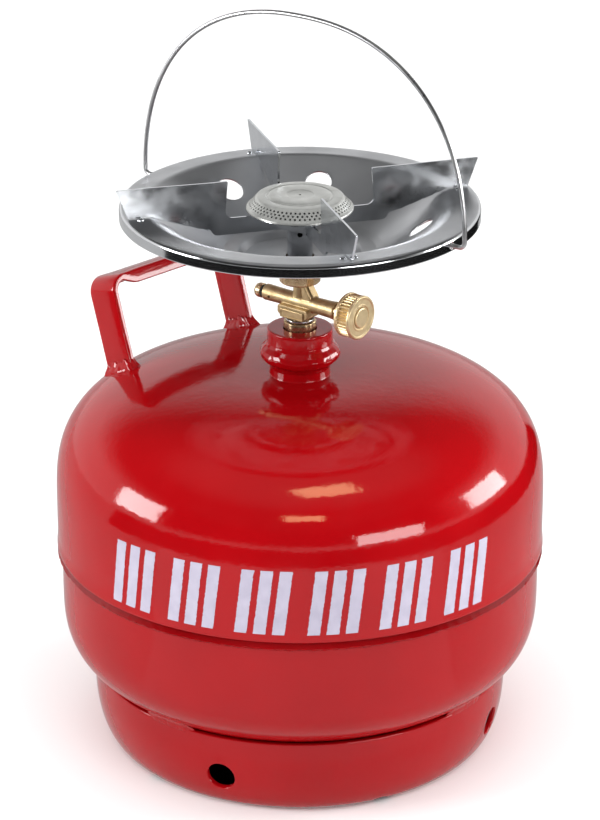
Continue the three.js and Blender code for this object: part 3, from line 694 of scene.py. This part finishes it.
washer_profile = fillet([(5.0, 201.3), (6.35, 201.3, 0.2), (6.35, 202.2, 0.2), (5.0, 202.2)], 3)
make("washer_skin", lathe(washer_profile, 96), zinc, "burner_lift",
     ["sealing_washer"])

cast = joined(
    lathe([(1.3, 186.6), (4.2, 186.6), (4.2, 204), (1.3, 204)], 48),
    prism(fillet([(-5.2, 202.5, 0.6), (5.2, 202.5, 0.6), (8.4, 204.6, 0.8), (8.4, 208.4, 1),
                  (-8.4, 208.4, 1), (-8.4, 204.6, 0.8)], 3), -5.8, 5.8, upright),
    prism([(0, 211.5), (8.4, 211.5), (8.8, 213.4), (4.9, 219.2), (0, 219.2)], -1.3, 2.7, upright),
    prism([(3.4, 211.5), (7.4, 211.5), (7.8, 213.4), (3.9, 219.2), (2.6, 219.2)],
          -2.9, 2.7, upright),
    on_barrel(fillet([(-19.4, 0), (-19.4, 3.2), (-18.9, 3.75), (-8, 3.55), (6, 3.6), (17, 3.85),
                      (20.2, 4.15, 0.5), (21.2, 4.15, 0.4), (21.2, 0)], 3), 64),
    lathe([(0, 209), (3.25, 209), (3.05, 213), (3.05, 222.6), (0, 222.6)], 48),
)
# A small vent hole in the barrel's side, cut by an object that is removed again.
VENT_X, VENT_RADIUS = -15, 0.7
vent_mesh = bpy.data.meshes.new("vent")
vent_verts, vent_faces = swept([
    [in_tap(VENT_X + VENT_RADIUS * math.cos(t), y, BARREL_Z - 0.6 + VENT_RADIUS * math.sin(t))
     for t in np.linspace(0, 2 * math.pi, 17)[:-1]] for y in (-6.0, -1.0)])
vent_mesh.from_pydata([tuple(np.array(v) * MM) for v in vent_verts], [], vent_faces)
vent = bpy.data.objects.new("vent", vent_mesh)
make("tap_casting", cast, cast_brass, "burner", ["tap_body"], sharp=60, modifiers=(
    ("REMESH", {"mode": "VOXEL", "voxel_size": 0.24 * MM}),
    ("SMOOTH", {"factor": 0.5, "iterations": 5}),
    ("BOOLEAN", {"object": vent, "operation": "DIFFERENCE", "solver": "EXACT"}),
))
bpy.data.objects.remove(vent)

# A raised plate with a plain rim on the front of the tap's block.

def rectangle(left, right, low, high, radius):
    return fillet([(left, low, radius), (right, low, radius), (right, high, radius),
                   (left, high, radius)], 3)


rim_outer = rectangle(-6.5, 6.4, 203.1, 206.9, 0.5)
rim_inner = rectangle(-6.0, 5.9, 203.6, 206.4, 0.3)
rim_rings = []
for (ox, oz), (ix, iz) in zip(rim_outer, rim_inner):
    rim_rings.append([
        upright(ox, oz, -5.7), upright(ox, oz, -6.42), upright(ox * 0.985, oz * 0.9 + 20.5, -6.5),
        upright(ix, iz, -6.45), upright(ix, iz, -5.7)])
plate = joined(prism(rim_outer, -6.15, -5.4, upright), swept(rim_rings, closed=True))
make("tap_plate", plate, cast_brass, "burner", sharp=40)

# The thread that screws into the tank valve.
THREAD_PITCH, THREAD_RADIUS, THREAD_DEPTH = 1.5, 4.68, 0.5
THREAD_BASE, THREAD_TOP = 187.2, 202.4
thread = []
for i in range(97):
    z = THREAD_BASE + (THREAD_TOP - THREAD_BASE) * i / 96
    ring = []
    for k in range(48):
        a = 2 * math.pi * k / 48
        saw = (z / THREAD_PITCH - k / 48) % 1.0
        fade = min(1.0, (THREAD_TOP - z) / 0.8, (z - THREAD_BASE) / 1.2)
        r = THREAD_RADIUS - THREAD_DEPTH * fade * (1 - abs(2 * saw - 1))
        ring.append((*(polar(r, math.degrees(a))[:2]), z))
    thread.append(ring)
make("tap_thread", swept(thread), turned_brass, "burner", sharp=70)

gland_profile = fillet([
    (21.5, 1.9), (21.5, 3.9, 0.25), (23.0, 3.9, 0.1), (23.3, 3.6, 0.1), (23.6, 3.9, 0.1),
    (25.4, 3.9, 0.5), (25.4, 1.9)], 3)
make("gland_skin", on_barrel(gland_profile, 64), turned_brass, "burner", ["gland_nut"])

plug_profile = fillet([
    (-24.1, 0), (-24.1, 1.0), (-23.7, 1.2, 0.1), (-23.7, 1.5, 0.1), (-24.1, 1.7, 0.15),
    (-24.1, 2.9, 0.6), (-22.9, 3.35, 0.6), (-20.8, 3.35, 0.3), (-20.8, 1.9), (-18.5, 1.9),
    (-18.5, 0)], 4)
make("relief_plug_skin", on_barrel(plug_profile, 64), turned_brass, "burner",
     ["relief_plug"])
seal_profile = fillet([(-20.55, 2.3), (-20.55, 3.05, 0.3), (-19.65, 3.05, 0.3), (-19.65, 2.3)], 4)
make("relief_seal_skin", on_barrel(seal_profile, 48), rubber, "burner",
     ["relief_seal"])

# Knob: ribs between a plain back rim and a raised front rim, and a sunk face with a centre disc.
RIBS, RIB_DEPTH, RIBS_FROM, RIBS_TO = 36, 1.15, 27.75, 33.1


def ribbed(r, x, a):
    if r < 8.6 or x < RIBS_FROM or x > RIBS_TO:
        return r, x
    crest = 0.5 + 0.5 * math.cos(RIBS * a)
    return r - RIB_DEPTH * (1 - crest ** 0.7), x


knob_profile = fillet([
    (26.2, 0), (26.2, 9.6, 0.3), (26.6, 9.95, 0.3), (27.5, 9.95, 0.2), (27.8, 9.75), (28.6, 9.75),
    (29.8, 9.75), (31.2, 9.75), (32.4, 9.75), (33.05, 9.75), (33.3, 9.95, 0.2), (34.0, 9.95, 0.4),
    (34.5, 9.4, 0.3), (34.5, 8.8, 0.2), (34.15, 8.5, 0.2), (34.15, 6.2, 0.2), (34.4, 6.0, 0.15),
    (34.4, 5.5, 0.15), (34.0, 5.3, 0.15), (34.0, 4.8), (32.2, 4.8), (32.2, 0)], 4)
make("knob_skin", on_barrel(knob_profile, RIBS * 8, ribbed), knob_brass, "knob",
     ["knob"], sharp=50)
cap_profile = fillet([(32.6, 0), (32.6, 4.6), (34.5, 4.6, 0.35), (34.75, 4.1, 0.4), (34.8, 0)], 4)
make("knob_cap_skin", on_barrel(cap_profile, 72), knob_brass, "knob", ["knob_cap"])

# ------------------------------------------------ burner

hub_profile = fillet([
    (3.35, 219.5), (8.6, 219.5, 0.3), (9.2, 220.1, 0.3), (9.2, 230.7, 0.4), (5.9, 230.7),
    (5.9, 223), (3.35, 223)], 4)
make("hub_skin", lathe(hub_profile, 96), turned_brass, "burner", ["burner_hub"])

tube_rows = list(np.linspace(0, 29.1, 52))
air_holes = [(90 * k, 19.8, 1.1, 5, 32, 39) for k in range(4)]
make("tube_skin", pierced([(5.3, 223.4), (5.3, 252.5)], tube_rows, 96, air_holes, loops=2), zinc,
     "burner", ["mixing_tube"], modifiers=sheet(0.6, 0.1))

# Wind-shield dish, as the middle of its sheet from the skirt's edge inwards: eight air holes on its
# slope, and two small ones in its skirt where the bail's ends turn.
DISH_HOLE_RING, DISH_HOLE_Z, DISH_HOLE_RADIUS = 54.0, 247.3, 6.1
BAIL_AZIMUTH = -35.6
dish_corners = [
    (79.6, 250.6), (79.6, 255.9, 1.3), (71.5, 255.9), (68.0, 255.9, 7.6), (62.7, 253.35),
    (37.2, 235.6, 4.0), (34.1, 234.2, 3.0), (27.4, 234.0, 1.6), (24.4, 231.4, 1.2), (6.3, 231.4)]
dish_profile = fillet(dish_corners, 8, closed=False)
dish_lengths, dish_find = along(dish_profile)
total = dish_lengths[-1]
fine = np.linspace(0, total, 4000)
radii = np.array([dish_find(s)[0] for s in fine])
heights = np.array([dish_find(s)[1] for s in fine])
hole_centre = float(fine[np.argmin(np.hypot(radii - DISH_HOLE_RING, heights - DISH_HOLE_Z))])
hole_rows = list(np.linspace(hole_centre - 8.4, hole_centre + 8.4, 13))
skirt_rows = [0, 0.5, 1.0, 1.6, 2.2, 2.8, 3.4, 4.0, 4.6, 5.2]
rest_rows = [s for s in dish_lengths if 5.6 < s < hole_rows[0] - 0.6 or s > hole_rows[-1] + 0.6]
extra = list(np.arange(7.4, 18, 1.6)) + list(np.linspace(hole_rows[-1] + 1, total - 12, 6))
dish_rows = thinned(sorted(skirt_rows + hole_rows + rest_rows + extra + [total]), 0.22, total)
first, last = nearest_row(dish_rows, hole_rows[0]), nearest_row(dish_rows, hole_rows[-1])
dish_holes = [(-9 + 45 * k, hole_centre, DISH_HOLE_RADIUS, 9, first, last) for k in range(8)]
dish_holes += [(azimuth, 2.6, 1.5, 2, 1, 9) for azimuth in (BAIL_AZIMUTH, BAIL_AZIMUTH + 180)]


def pressed(r, z, a):
    """The dish's slight unevenness inside its rim."""
    x, y = r * math.cos(a), r * math.sin(a)
    return r, z + 0.1 * lumps(x, y, z, 0.035, 4.0) * min(1.0, max(0.0, (78 - r) / 10))


make("dish_skin", pierced(dish_profile, dish_rows, 360, dish_holes, shape=pressed), dish_steel,
     "burner", ["wind_shield_dish"], sharp=50, modifiers=sheet(0.8, 0.18, 2))

base_profile = fillet([
    (4, 248.5), (4.7, 248.5), (4.7, 252.7), (22.2, 252.7), (22.6, 252.9, 0.2), (22.6, 253.6, 0.3),
    (4, 253.6)], 3)
make("base_skin", lathe(base_profile, 96), zinc, "burner", ["burner_base"])

# Burner cap: a pressed lid with three staggered rows of small flame ports on its slope.
cap_corners = [
    (23.5, 254.0), (23.45, 254.6, 0.2), (22.6, 255.1, 0.2), (18.9, 259.4, 0.9), (15.3, 259.55, 0.4),
    (14.9, 259.3, 0.25), (14.2, 259.3, 0.25), (13.6, 259.8, 0.5), (12.4, 260.0, 0.5),
    (6.4, 260.0, 0.4), (5.8, 259.75, 0.3), (0.6, 259.7)]
cap_middle = fillet(cap_corners, 4, closed=False)
cap_lengths, _ = along(cap_middle)
PORTS, PORT_RADIUS, PORTS_FROM = 64, 0.5, 1.9
port_rows = [PORTS_FROM + 0.36 * j for j in range(13)]
clear = [s for s in cap_lengths if s < PORTS_FROM - 0.2 or s > port_rows[-1] + 0.2]
cap_rows = thinned(sorted(clear + port_rows), 0.1)
row_of = [nearest_row(cap_rows, s) for s in port_rows]
ports = []
for level in range(3):
    centre_row = 2 + 4 * level
    for k in range(PORTS):
        azimuth = (k + 0.5 * (level % 2)) * 360 / PORTS
        ports.append((azimuth, port_rows[centre_row], PORT_RADIUS, 3,
                      row_of[centre_row - 2], row_of[centre_row + 2]))
make("cap_skin", pierced(cap_middle, cap_rows, PORTS * 8, ports, loops=1), burner_steel, "burner",
     ["burner_cap"], sharp=55, modifiers=(thick(0.7),))

# Pot supports: two strips of sheet, each bent into two arms with a facet beside the mixing tube.
BASE_Z, FACET_TOP_Z, TOP_Z = 245.0, 252.5, 269.5
CORNER, BEND = 9.2, 2.0
TWIST_Z = 257.2  # the height about which an arm's end is twisted
SUPPORT_AZIMUTH = 16.4


def arm_outline(start):
    return fillet([
        (start, BASE_Z), (41.0, BASE_Z, 3.5), (41.0, 257.7, 5.5), (67.6, 257.7, 0.6),
        (68.3, 256.75, 0.4), (78, 256.75), (83, TOP_Z, 0.3), (33.0, TOP_Z, 0.5),
        (34.5, FACET_TOP_Z, 3.5), (start, FACET_TOP_Z)], 6)


def fine_face(outline, size):
    """A flat outline cut into triangles no longer than size."""
    work = bmesh.new()
    work.faces.new([work.verts.new((x, y, 0)) for x, y in outline])
    for _ in range(7):
        bmesh.ops.triangulate(work, faces=work.faces, quad_method="BEAUTY", ngon_method="BEAUTY")
        long = [edge for edge in work.edges if edge.calc_length() > size]
        if not long:
            break
        bmesh.ops.subdivide_edges(work, edges=long, cuts=1)
    bmesh.ops.triangulate(work, faces=work.faces)
    work.verts.index_update()
    points = [(v.co.x, v.co.y) for v in work.verts]
    faces = [tuple(v.index for v in face.verts) for face in work.faces]
    work.free()
    return points, faces


def curved(p, q, r):
    """Seven points from p to r on a curve that leaves towards q."""
    steps = [k / 6 for k in range(7)]
    return [(1 - t) ** 2 * p + 2 * t * (1 - t) * q + t * t * r for t in steps]


def support(azimuth, twists):
    """Two arms a quarter turn apart and their facet; twists are the arms' ends', in degrees."""
    parts = []
    for turn, twist in zip((0, 90), twists):
        ahead, beside = polar(1, azimuth + turn), polar(1, azimuth + turn + 90)
        points, faces = fine_face(arm_outline(CORNER + BEND), 3.0)
        verts = []
        for s, z in points:
            amount = min(1.0, max(0.0, (s - 36) / 44))
            ease = amount * amount * (3 - 2 * amount)
            slip = math.tan(math.radians(twist)) * ease * (z - TWIST_Z)
            verts.append(tuple(ahead * s + beside * slip + np.array([0, 0, z])))
        parts.append((verts, faces))
    a, b = polar(CORNER, azimuth), polar(CORNER, azimuth + 90)
    unit = (b - a) / np.linalg.norm(b - a)
    curve = curved(a + polar(BEND, azimuth), a, a + unit * BEND)
    curve += curved(b - unit * BEND, b, b + polar(BEND, azimuth + 90))
    verts = [tuple(p + np.array([0, 0, z])) for p in curve for z in (BASE_Z, FACET_TOP_Z)]
    faces = [(2 * i, 2 * i + 2, 2 * i + 3, 2 * i + 1) for i in range(len(curve) - 1)]
    parts.append((verts, faces))
    return joined(*parts)


for azimuth, name, twists in ((SUPPORT_AZIMUTH, "right_back", (4.0, 2.0)),
                              (SUPPORT_AZIMUTH + 180, "left_front", (-6.5, 2.0))):
    make(f"support_{name}", support(azimuth, twists), zinc, "burner",
         [f"pot_support_{name}"], sharp=25, modifiers=(thick(1.0),))

# Eight spots of weld on the dish's rim, one on each side of each arm.
for k in range(4):
    for side in (-1, 1):
        number = 2 * k + (1 if side < 0 else 2)
        azimuth = SUPPORT_AZIMUTH + 90 * k
        spot = polar(73, azimuth, 256.35) + polar(2.7 * side, azimuth + 90)
        bumpy = wander(60 + number, 5, 2, 6)
        profile = [(0, -0.2), (1.3, -0.2), (1.35, 0.1), (1.1, 0.5), (0.6, 0.8), (0, 0.88)]
        blob = lathe(profile, 20, lambda r, z, a: (r * (1 + 0.16 * bumpy(a)), z))
        placed = moved(blob, lambda x, y, z: (x + spot[0], y + spot[1], z + spot[2]))
        make(f"spot_{number}", placed, zinc, "burner", [f"foot_spot_{number}"],
             sharp=80)

# ------------------------------------------------ bail

BAIL_Z, BAIL_HALF, BAIL_HEIGHT, BAIL_EXPONENT = 253.2, 86.6, 88.3, 2.27
arch = []
for i in range(3, 158):
    t = math.pi * i / 160
    c = math.cos(t)
    x = BAIL_HALF * math.copysign(abs(c) ** (2 / BAIL_EXPONENT), c)
    y = BAIL_HEIGHT * math.sin(t) ** (2 / BAIL_EXPONENT)
    if y > 3.4:
        arch.append((x, y))
corner = (BAIL_HALF - 0.05, 0.0, 2.6)
bail_corners = [(77.4, 0.0), corner] + arch + [(-corner[0], 0.0, 2.6), (-77.4, 0.0)]
bail_line = np.array(fillet(bail_corners, 8, closed=False))
bail_tangents = np.gradient(bail_line, axis=0)
bail_tangents /= np.linalg.norm(bail_tangents, axis=1)[:, None]
bail_across = polar(1, BAIL_AZIMUTH)
bail_side = polar(1, BAIL_AZIMUTH + 90)
rings = []
for (x, y), (tx, ty) in zip(bail_line, bail_tangents):
    ring = []
    for k in range(14):
        t = 2 * math.pi * k / 14
        nx, ny = -ty, tx
        sway = 0.25 * math.sin(x * 0.05 + 0.6)
        ring.append(bail_across * (x + nx * math.cos(t))
                    + np.array([0, 0, BAIL_Z + y + ny * math.cos(t)])
                    + bail_side * (math.sin(t) + sway * min(1.0, y / 30)))
    rings.append(ring)
make("bail_wire", swept(rings), wire_steel, "bail", ["wire_bail"], sharp=60)

# ------------------------------------------------ springs, which their valves shorten

def coil(radius, wire, bottom, top, turns, place):
    """A helix of wire about an axis; place(x, y, distance along the axis) gives the point."""
    rings = []
    count = turns * 28
    for i in range(count + 1):
        t = i / count
        a = 2 * math.pi * turns * t
        middle = bottom + (top - bottom) * t
        ring = []
        for k in range(10):
            b = 2 * math.pi * k / 10
            far = radius + wire * math.cos(b)
            ring.append(place(far * math.cos(a), far * math.sin(a), middle + wire * math.sin(b)))
        rings.append(ring)
    return swept(rings)


poppet_helix = coil(2.9, 0.35, 174.9, 177.5, 2, lambda x, y, d: np.array([x, y, d]))
poppet_coil = make("poppet_coil", poppet_helix, wire_steel, "cylinder",
                   ["poppet_spring"], sharp=80)
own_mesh(poppet_coil)
relief_helix = coil(1.4, 0.25, -17.9, -11.1, 4, lambda x, y, d: in_tap(d, x, BARREL_Z + y))
relief_coil = make("relief_coil", relief_helix, wire_steel, "burner",
                   ["relief_spring"], sharp=80)
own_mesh(relief_coil)

# ------------------------------------------------ painted marking: plain slanted bars

BARS_Z, BAR_HEIGHT, BAR_HALF, BAR_SLANT = 99.0, 30.0, 2.7, 0.12
rng = np.random.default_rng(77)
bars = []
for centre in (-40.8, -24.5, -8.2, 8.2, 24.5, 40.8):
    for offset in (-8.3, 0.0, 8.3):
        verts = []
        for j in range(53):
            z = BARS_Z + BAR_HEIGHT * j / 52
            r = dome_radius(z) + flare(z)
            slant = offset + (z - 114.0) * BAR_SLANT
            edges = (-BAR_HALF + rng.normal(0, 0.09), BAR_HALF + rng.normal(0, 0.09))
            for w in np.linspace(edges[0], edges[1], 6):
                a = -90 + centre + math.degrees((slant + w) / r)
                real = dented(r, z, math.radians(a))[0]
                verts.append(tuple(polar(real + 0.045, a, z)))
        faces = [(6 * j + i, 6 * j + i + 1, 6 * j + i + 7, 6 * j + i + 6)
                 for j in range(52) for i in range(5)]
        bars.append((verts, faces))
make("white_bars", joined(*bars), white_paint, "cylinder", sharp=80,
     modifiers=(thick(0.08),))

# ------------------------------------------------ CAD nodes that stay

STAYING = {
    "valve_poppet": turned_brass, "spring_retainer": turned_brass, "stub_seal": rubber,
    "relief_piston": turned_brass, "spindle": turned_brass, "spindle_seal": rubber,
    "knob_screw": zinc, "jet_nozzle": turned_brass,
}
for name, material in STAYING.items():
    nodes[name].data.materials.clear()
    nodes[name].data.materials.append(material)

# ------------------------------------------------ floor, light and camera, in metres

def plane(name, corners, material):
    mesh = bpy.data.meshes.new(name)
    mesh.from_pydata(corners, [], [tuple(range(len(corners)))])
    mesh.materials.append(material)
    obj = bpy.data.objects.new(name, mesh)
    bpy.context.scene.collection.objects.link(obj)
    return obj


def square(name, half, height, material):
    turns = ((-1, -1), (1, -1), (1, 1), (-1, 1))
    return plane(name, [(half * x, half * y, height) for x, y in turns], material)


def sector(name, inner, outer, start, end, height, material):
    """A card just above the floor, between two radii and two azimuths."""
    near = [tuple(polar(inner, a, height)) for a in range(start, end + 1, 6)]
    far = [tuple(polar(outer, a, height)) for a in range(end, start - 1, -6)]
    return plane(name, near + far, material)


floor_paint = surface("floor_paint", ((0.97, 0.97, 0.97), (0.95, 0.95, 0.95)), 3, (0.6, 0.75), 5,
                      ((40, 0.05),))
pale_card = surface("pale_card", ((0.70, 0.70, 0.70), (0.66, 0.66, 0.66)), 3, (0.8, 0.9), 5, ())
grey_card = surface("grey_card", ((0.45, 0.45, 0.46), (0.42, 0.42, 0.43)), 3, (0.8, 0.9), 5, ())
dark_card = surface("dark_card", ((0.004, 0.004, 0.004), (0.005, 0.005, 0.005)), 3, (0.8, 0.9), 5,
                    (), specular_ior_level=0.0)
# Reflections see the cards and the table in place of the floor, which only the camera and the
# light's bounces see. The shade is a black disc on the floor under the tank: painted shade that
# keeps the inside of the foot ring dark.
floor = square("floor", 40, 0, floor_paint)
floor.visible_glossy = False
table = square("table", 8, -0.001, pale_card)
plane("shade", [tuple(polar(0.082, a, 0.0004)) for a in range(0, 360, 6)], dark_card)
middle_card = sector("middle_card", 0.14, 0.56, -150, -30, 0.0005, grey_card)
outer_card = sector("outer_card", 0.56, 4.0, -180, 60, 0.001, dark_card)
for unseen in (table, middle_card, outer_card):
    unseen.visible_camera = False
    unseen.visible_diffuse = False
    unseen.visible_shadow = False


WARM = (1.0, 0.68, 0.36)


def softbox(name, azimuth, elevation, distance, width, height, radiance, receiver,
            colour=(1, 1, 1)):
    """A rectangular light that faces the object and shines on what the receiver lists."""
    target = Vector((0, 0, 0.145))
    a, e = math.radians(azimuth), math.radians(elevation)
    away = Vector((math.cos(e) * math.cos(a), math.cos(e) * math.sin(a), math.sin(e)))
    light = bpy.data.lights.new(name, "AREA")
    light.shape = "RECTANGLE"
    light.size, light.size_y = width, height
    light.energy = radiance * math.pi * width * height
    light.color = colour
    obj = bpy.data.objects.new(name, light)
    obj.location = target + away * distance
    obj.rotation_euler = away.to_track_quat("Z", "Y").to_euler()
    obj.visible_camera = False
    obj.light_linking.receiver_collection = receiver
    bpy.context.scene.collection.objects.link(obj)


# The two warm lamps shine on the upper shell alone.
paint_only = bpy.data.collections.new("paint_only")
paint_only.objects.link(bpy.data.objects["upper_shell_skin"])
# The three pale ones leave out the girth weld, on which the photo shows no lamp.
all_but_weld = bpy.data.collections.new("all_but_weld")
all_but_weld.objects.link(bpy.data.objects["girth_bead"])
all_but_weld.collection_objects[0].light_linking.link_state = "EXCLUDE"
softbox("left_box", -168, 13, 1.3, 0.58, 0.46, 13, all_but_weld)
softbox("right_box", 5, 12, 1.3, 0.56, 0.40, 13, all_but_weld)
softbox("front_box", -50, 6, 1.4, 0.76, 0.28, 9, all_but_weld)
softbox("warm_top", -60, 74, 1.2, 0.40, 0.26, 8.0, paint_only, WARM)
softbox("warm_front", -88, 39, 1.6, 0.42, 0.20, 8.0, paint_only, WARM)
sun = bpy.data.lights.new("overhead", "SUN")
sun.energy = 3.0
sun.angle = math.radians(100)
sun_object = bpy.data.objects.new("overhead", sun)
sun_object.rotation_euler = (math.radians(18), 0, 0)
sun_object.visible_glossy = False
bpy.context.scene.collection.objects.link(sun_object)

# A studio that reflections see as pale near the floor and dark above; the camera sees it white.
world = bpy.data.worlds.new("studio")
bpy.context.scene.world = world
world.use_nodes = True
tree = world.node_tree
background = tree.nodes["Background"]
coords = tree.nodes.new("ShaderNodeTexCoord")
split = tree.nodes.new("ShaderNodeSeparateXYZ")
tree.links.new(coords.outputs["Generated"], split.inputs["Vector"])


def ramp(source, low, high, at_low, at_high):
    node = tree.nodes.new("ShaderNodeMapRange")
    node.interpolation_type = "SMOOTHSTEP"
    sockets = {"From Min": low, "From Max": high, "To Min": at_low, "To Max": at_high}
    for socket, value in sockets.items():
        node.inputs[socket].default_value = value
    tree.links.new(source, node.inputs["Value"])
    return node.outputs["Result"]


def blended(factor, a, b):
    node = tree.nodes.new("ShaderNodeMix")
    for socket, value in (("Factor", factor), ("A", a), ("B", b)):
        if isinstance(value, float):
            node.inputs[socket].default_value = value
        else:
            tree.links.new(value, node.inputs[socket])
    return node.outputs["Result"]


behind = ramp(split.outputs["Z"], 0.34, 0.60, 0.85, 0.06)
ahead = ramp(split.outputs["Z"], -0.02, 0.10, 0.8, 0.03)
sides = ramp(split.outputs["Y"], -0.45, 0.25, 0.0, 1.0)
overhead = ramp(split.outputs["Z"], 0.72, 0.94, 0.0, 0.20)
total_light = tree.nodes.new("ShaderNodeMath")
tree.links.new(blended(sides, ahead, behind), total_light.inputs[0])
tree.links.new(overhead, total_light.inputs[1])
seen = total_light.outputs[0]
rays = tree.nodes.new("ShaderNodeLightPath")
strength = blended(rays.outputs["Is Camera Ray"], seen, 1.0)
tree.links.new(strength, background.inputs["Strength"])
background.inputs["Color"].default_value = (1, 1, 1, 1)

camera_data = bpy.data.cameras.new("camera")
camera_data.sensor_width = 36
camera_data.lens = 145.4
camera_data.clip_end = 50
camera = bpy.data.objects.new("camera", camera_data)
camera.location = (0, -1.3816, 0.7412)
camera.rotation_euler = (math.radians(90 - 22.92), 0, 0)
bpy.context.scene.collection.objects.link(camera)
bpy.context.scene.camera = camera
bpy.context.scene.view_settings.view_transform = "Standard"
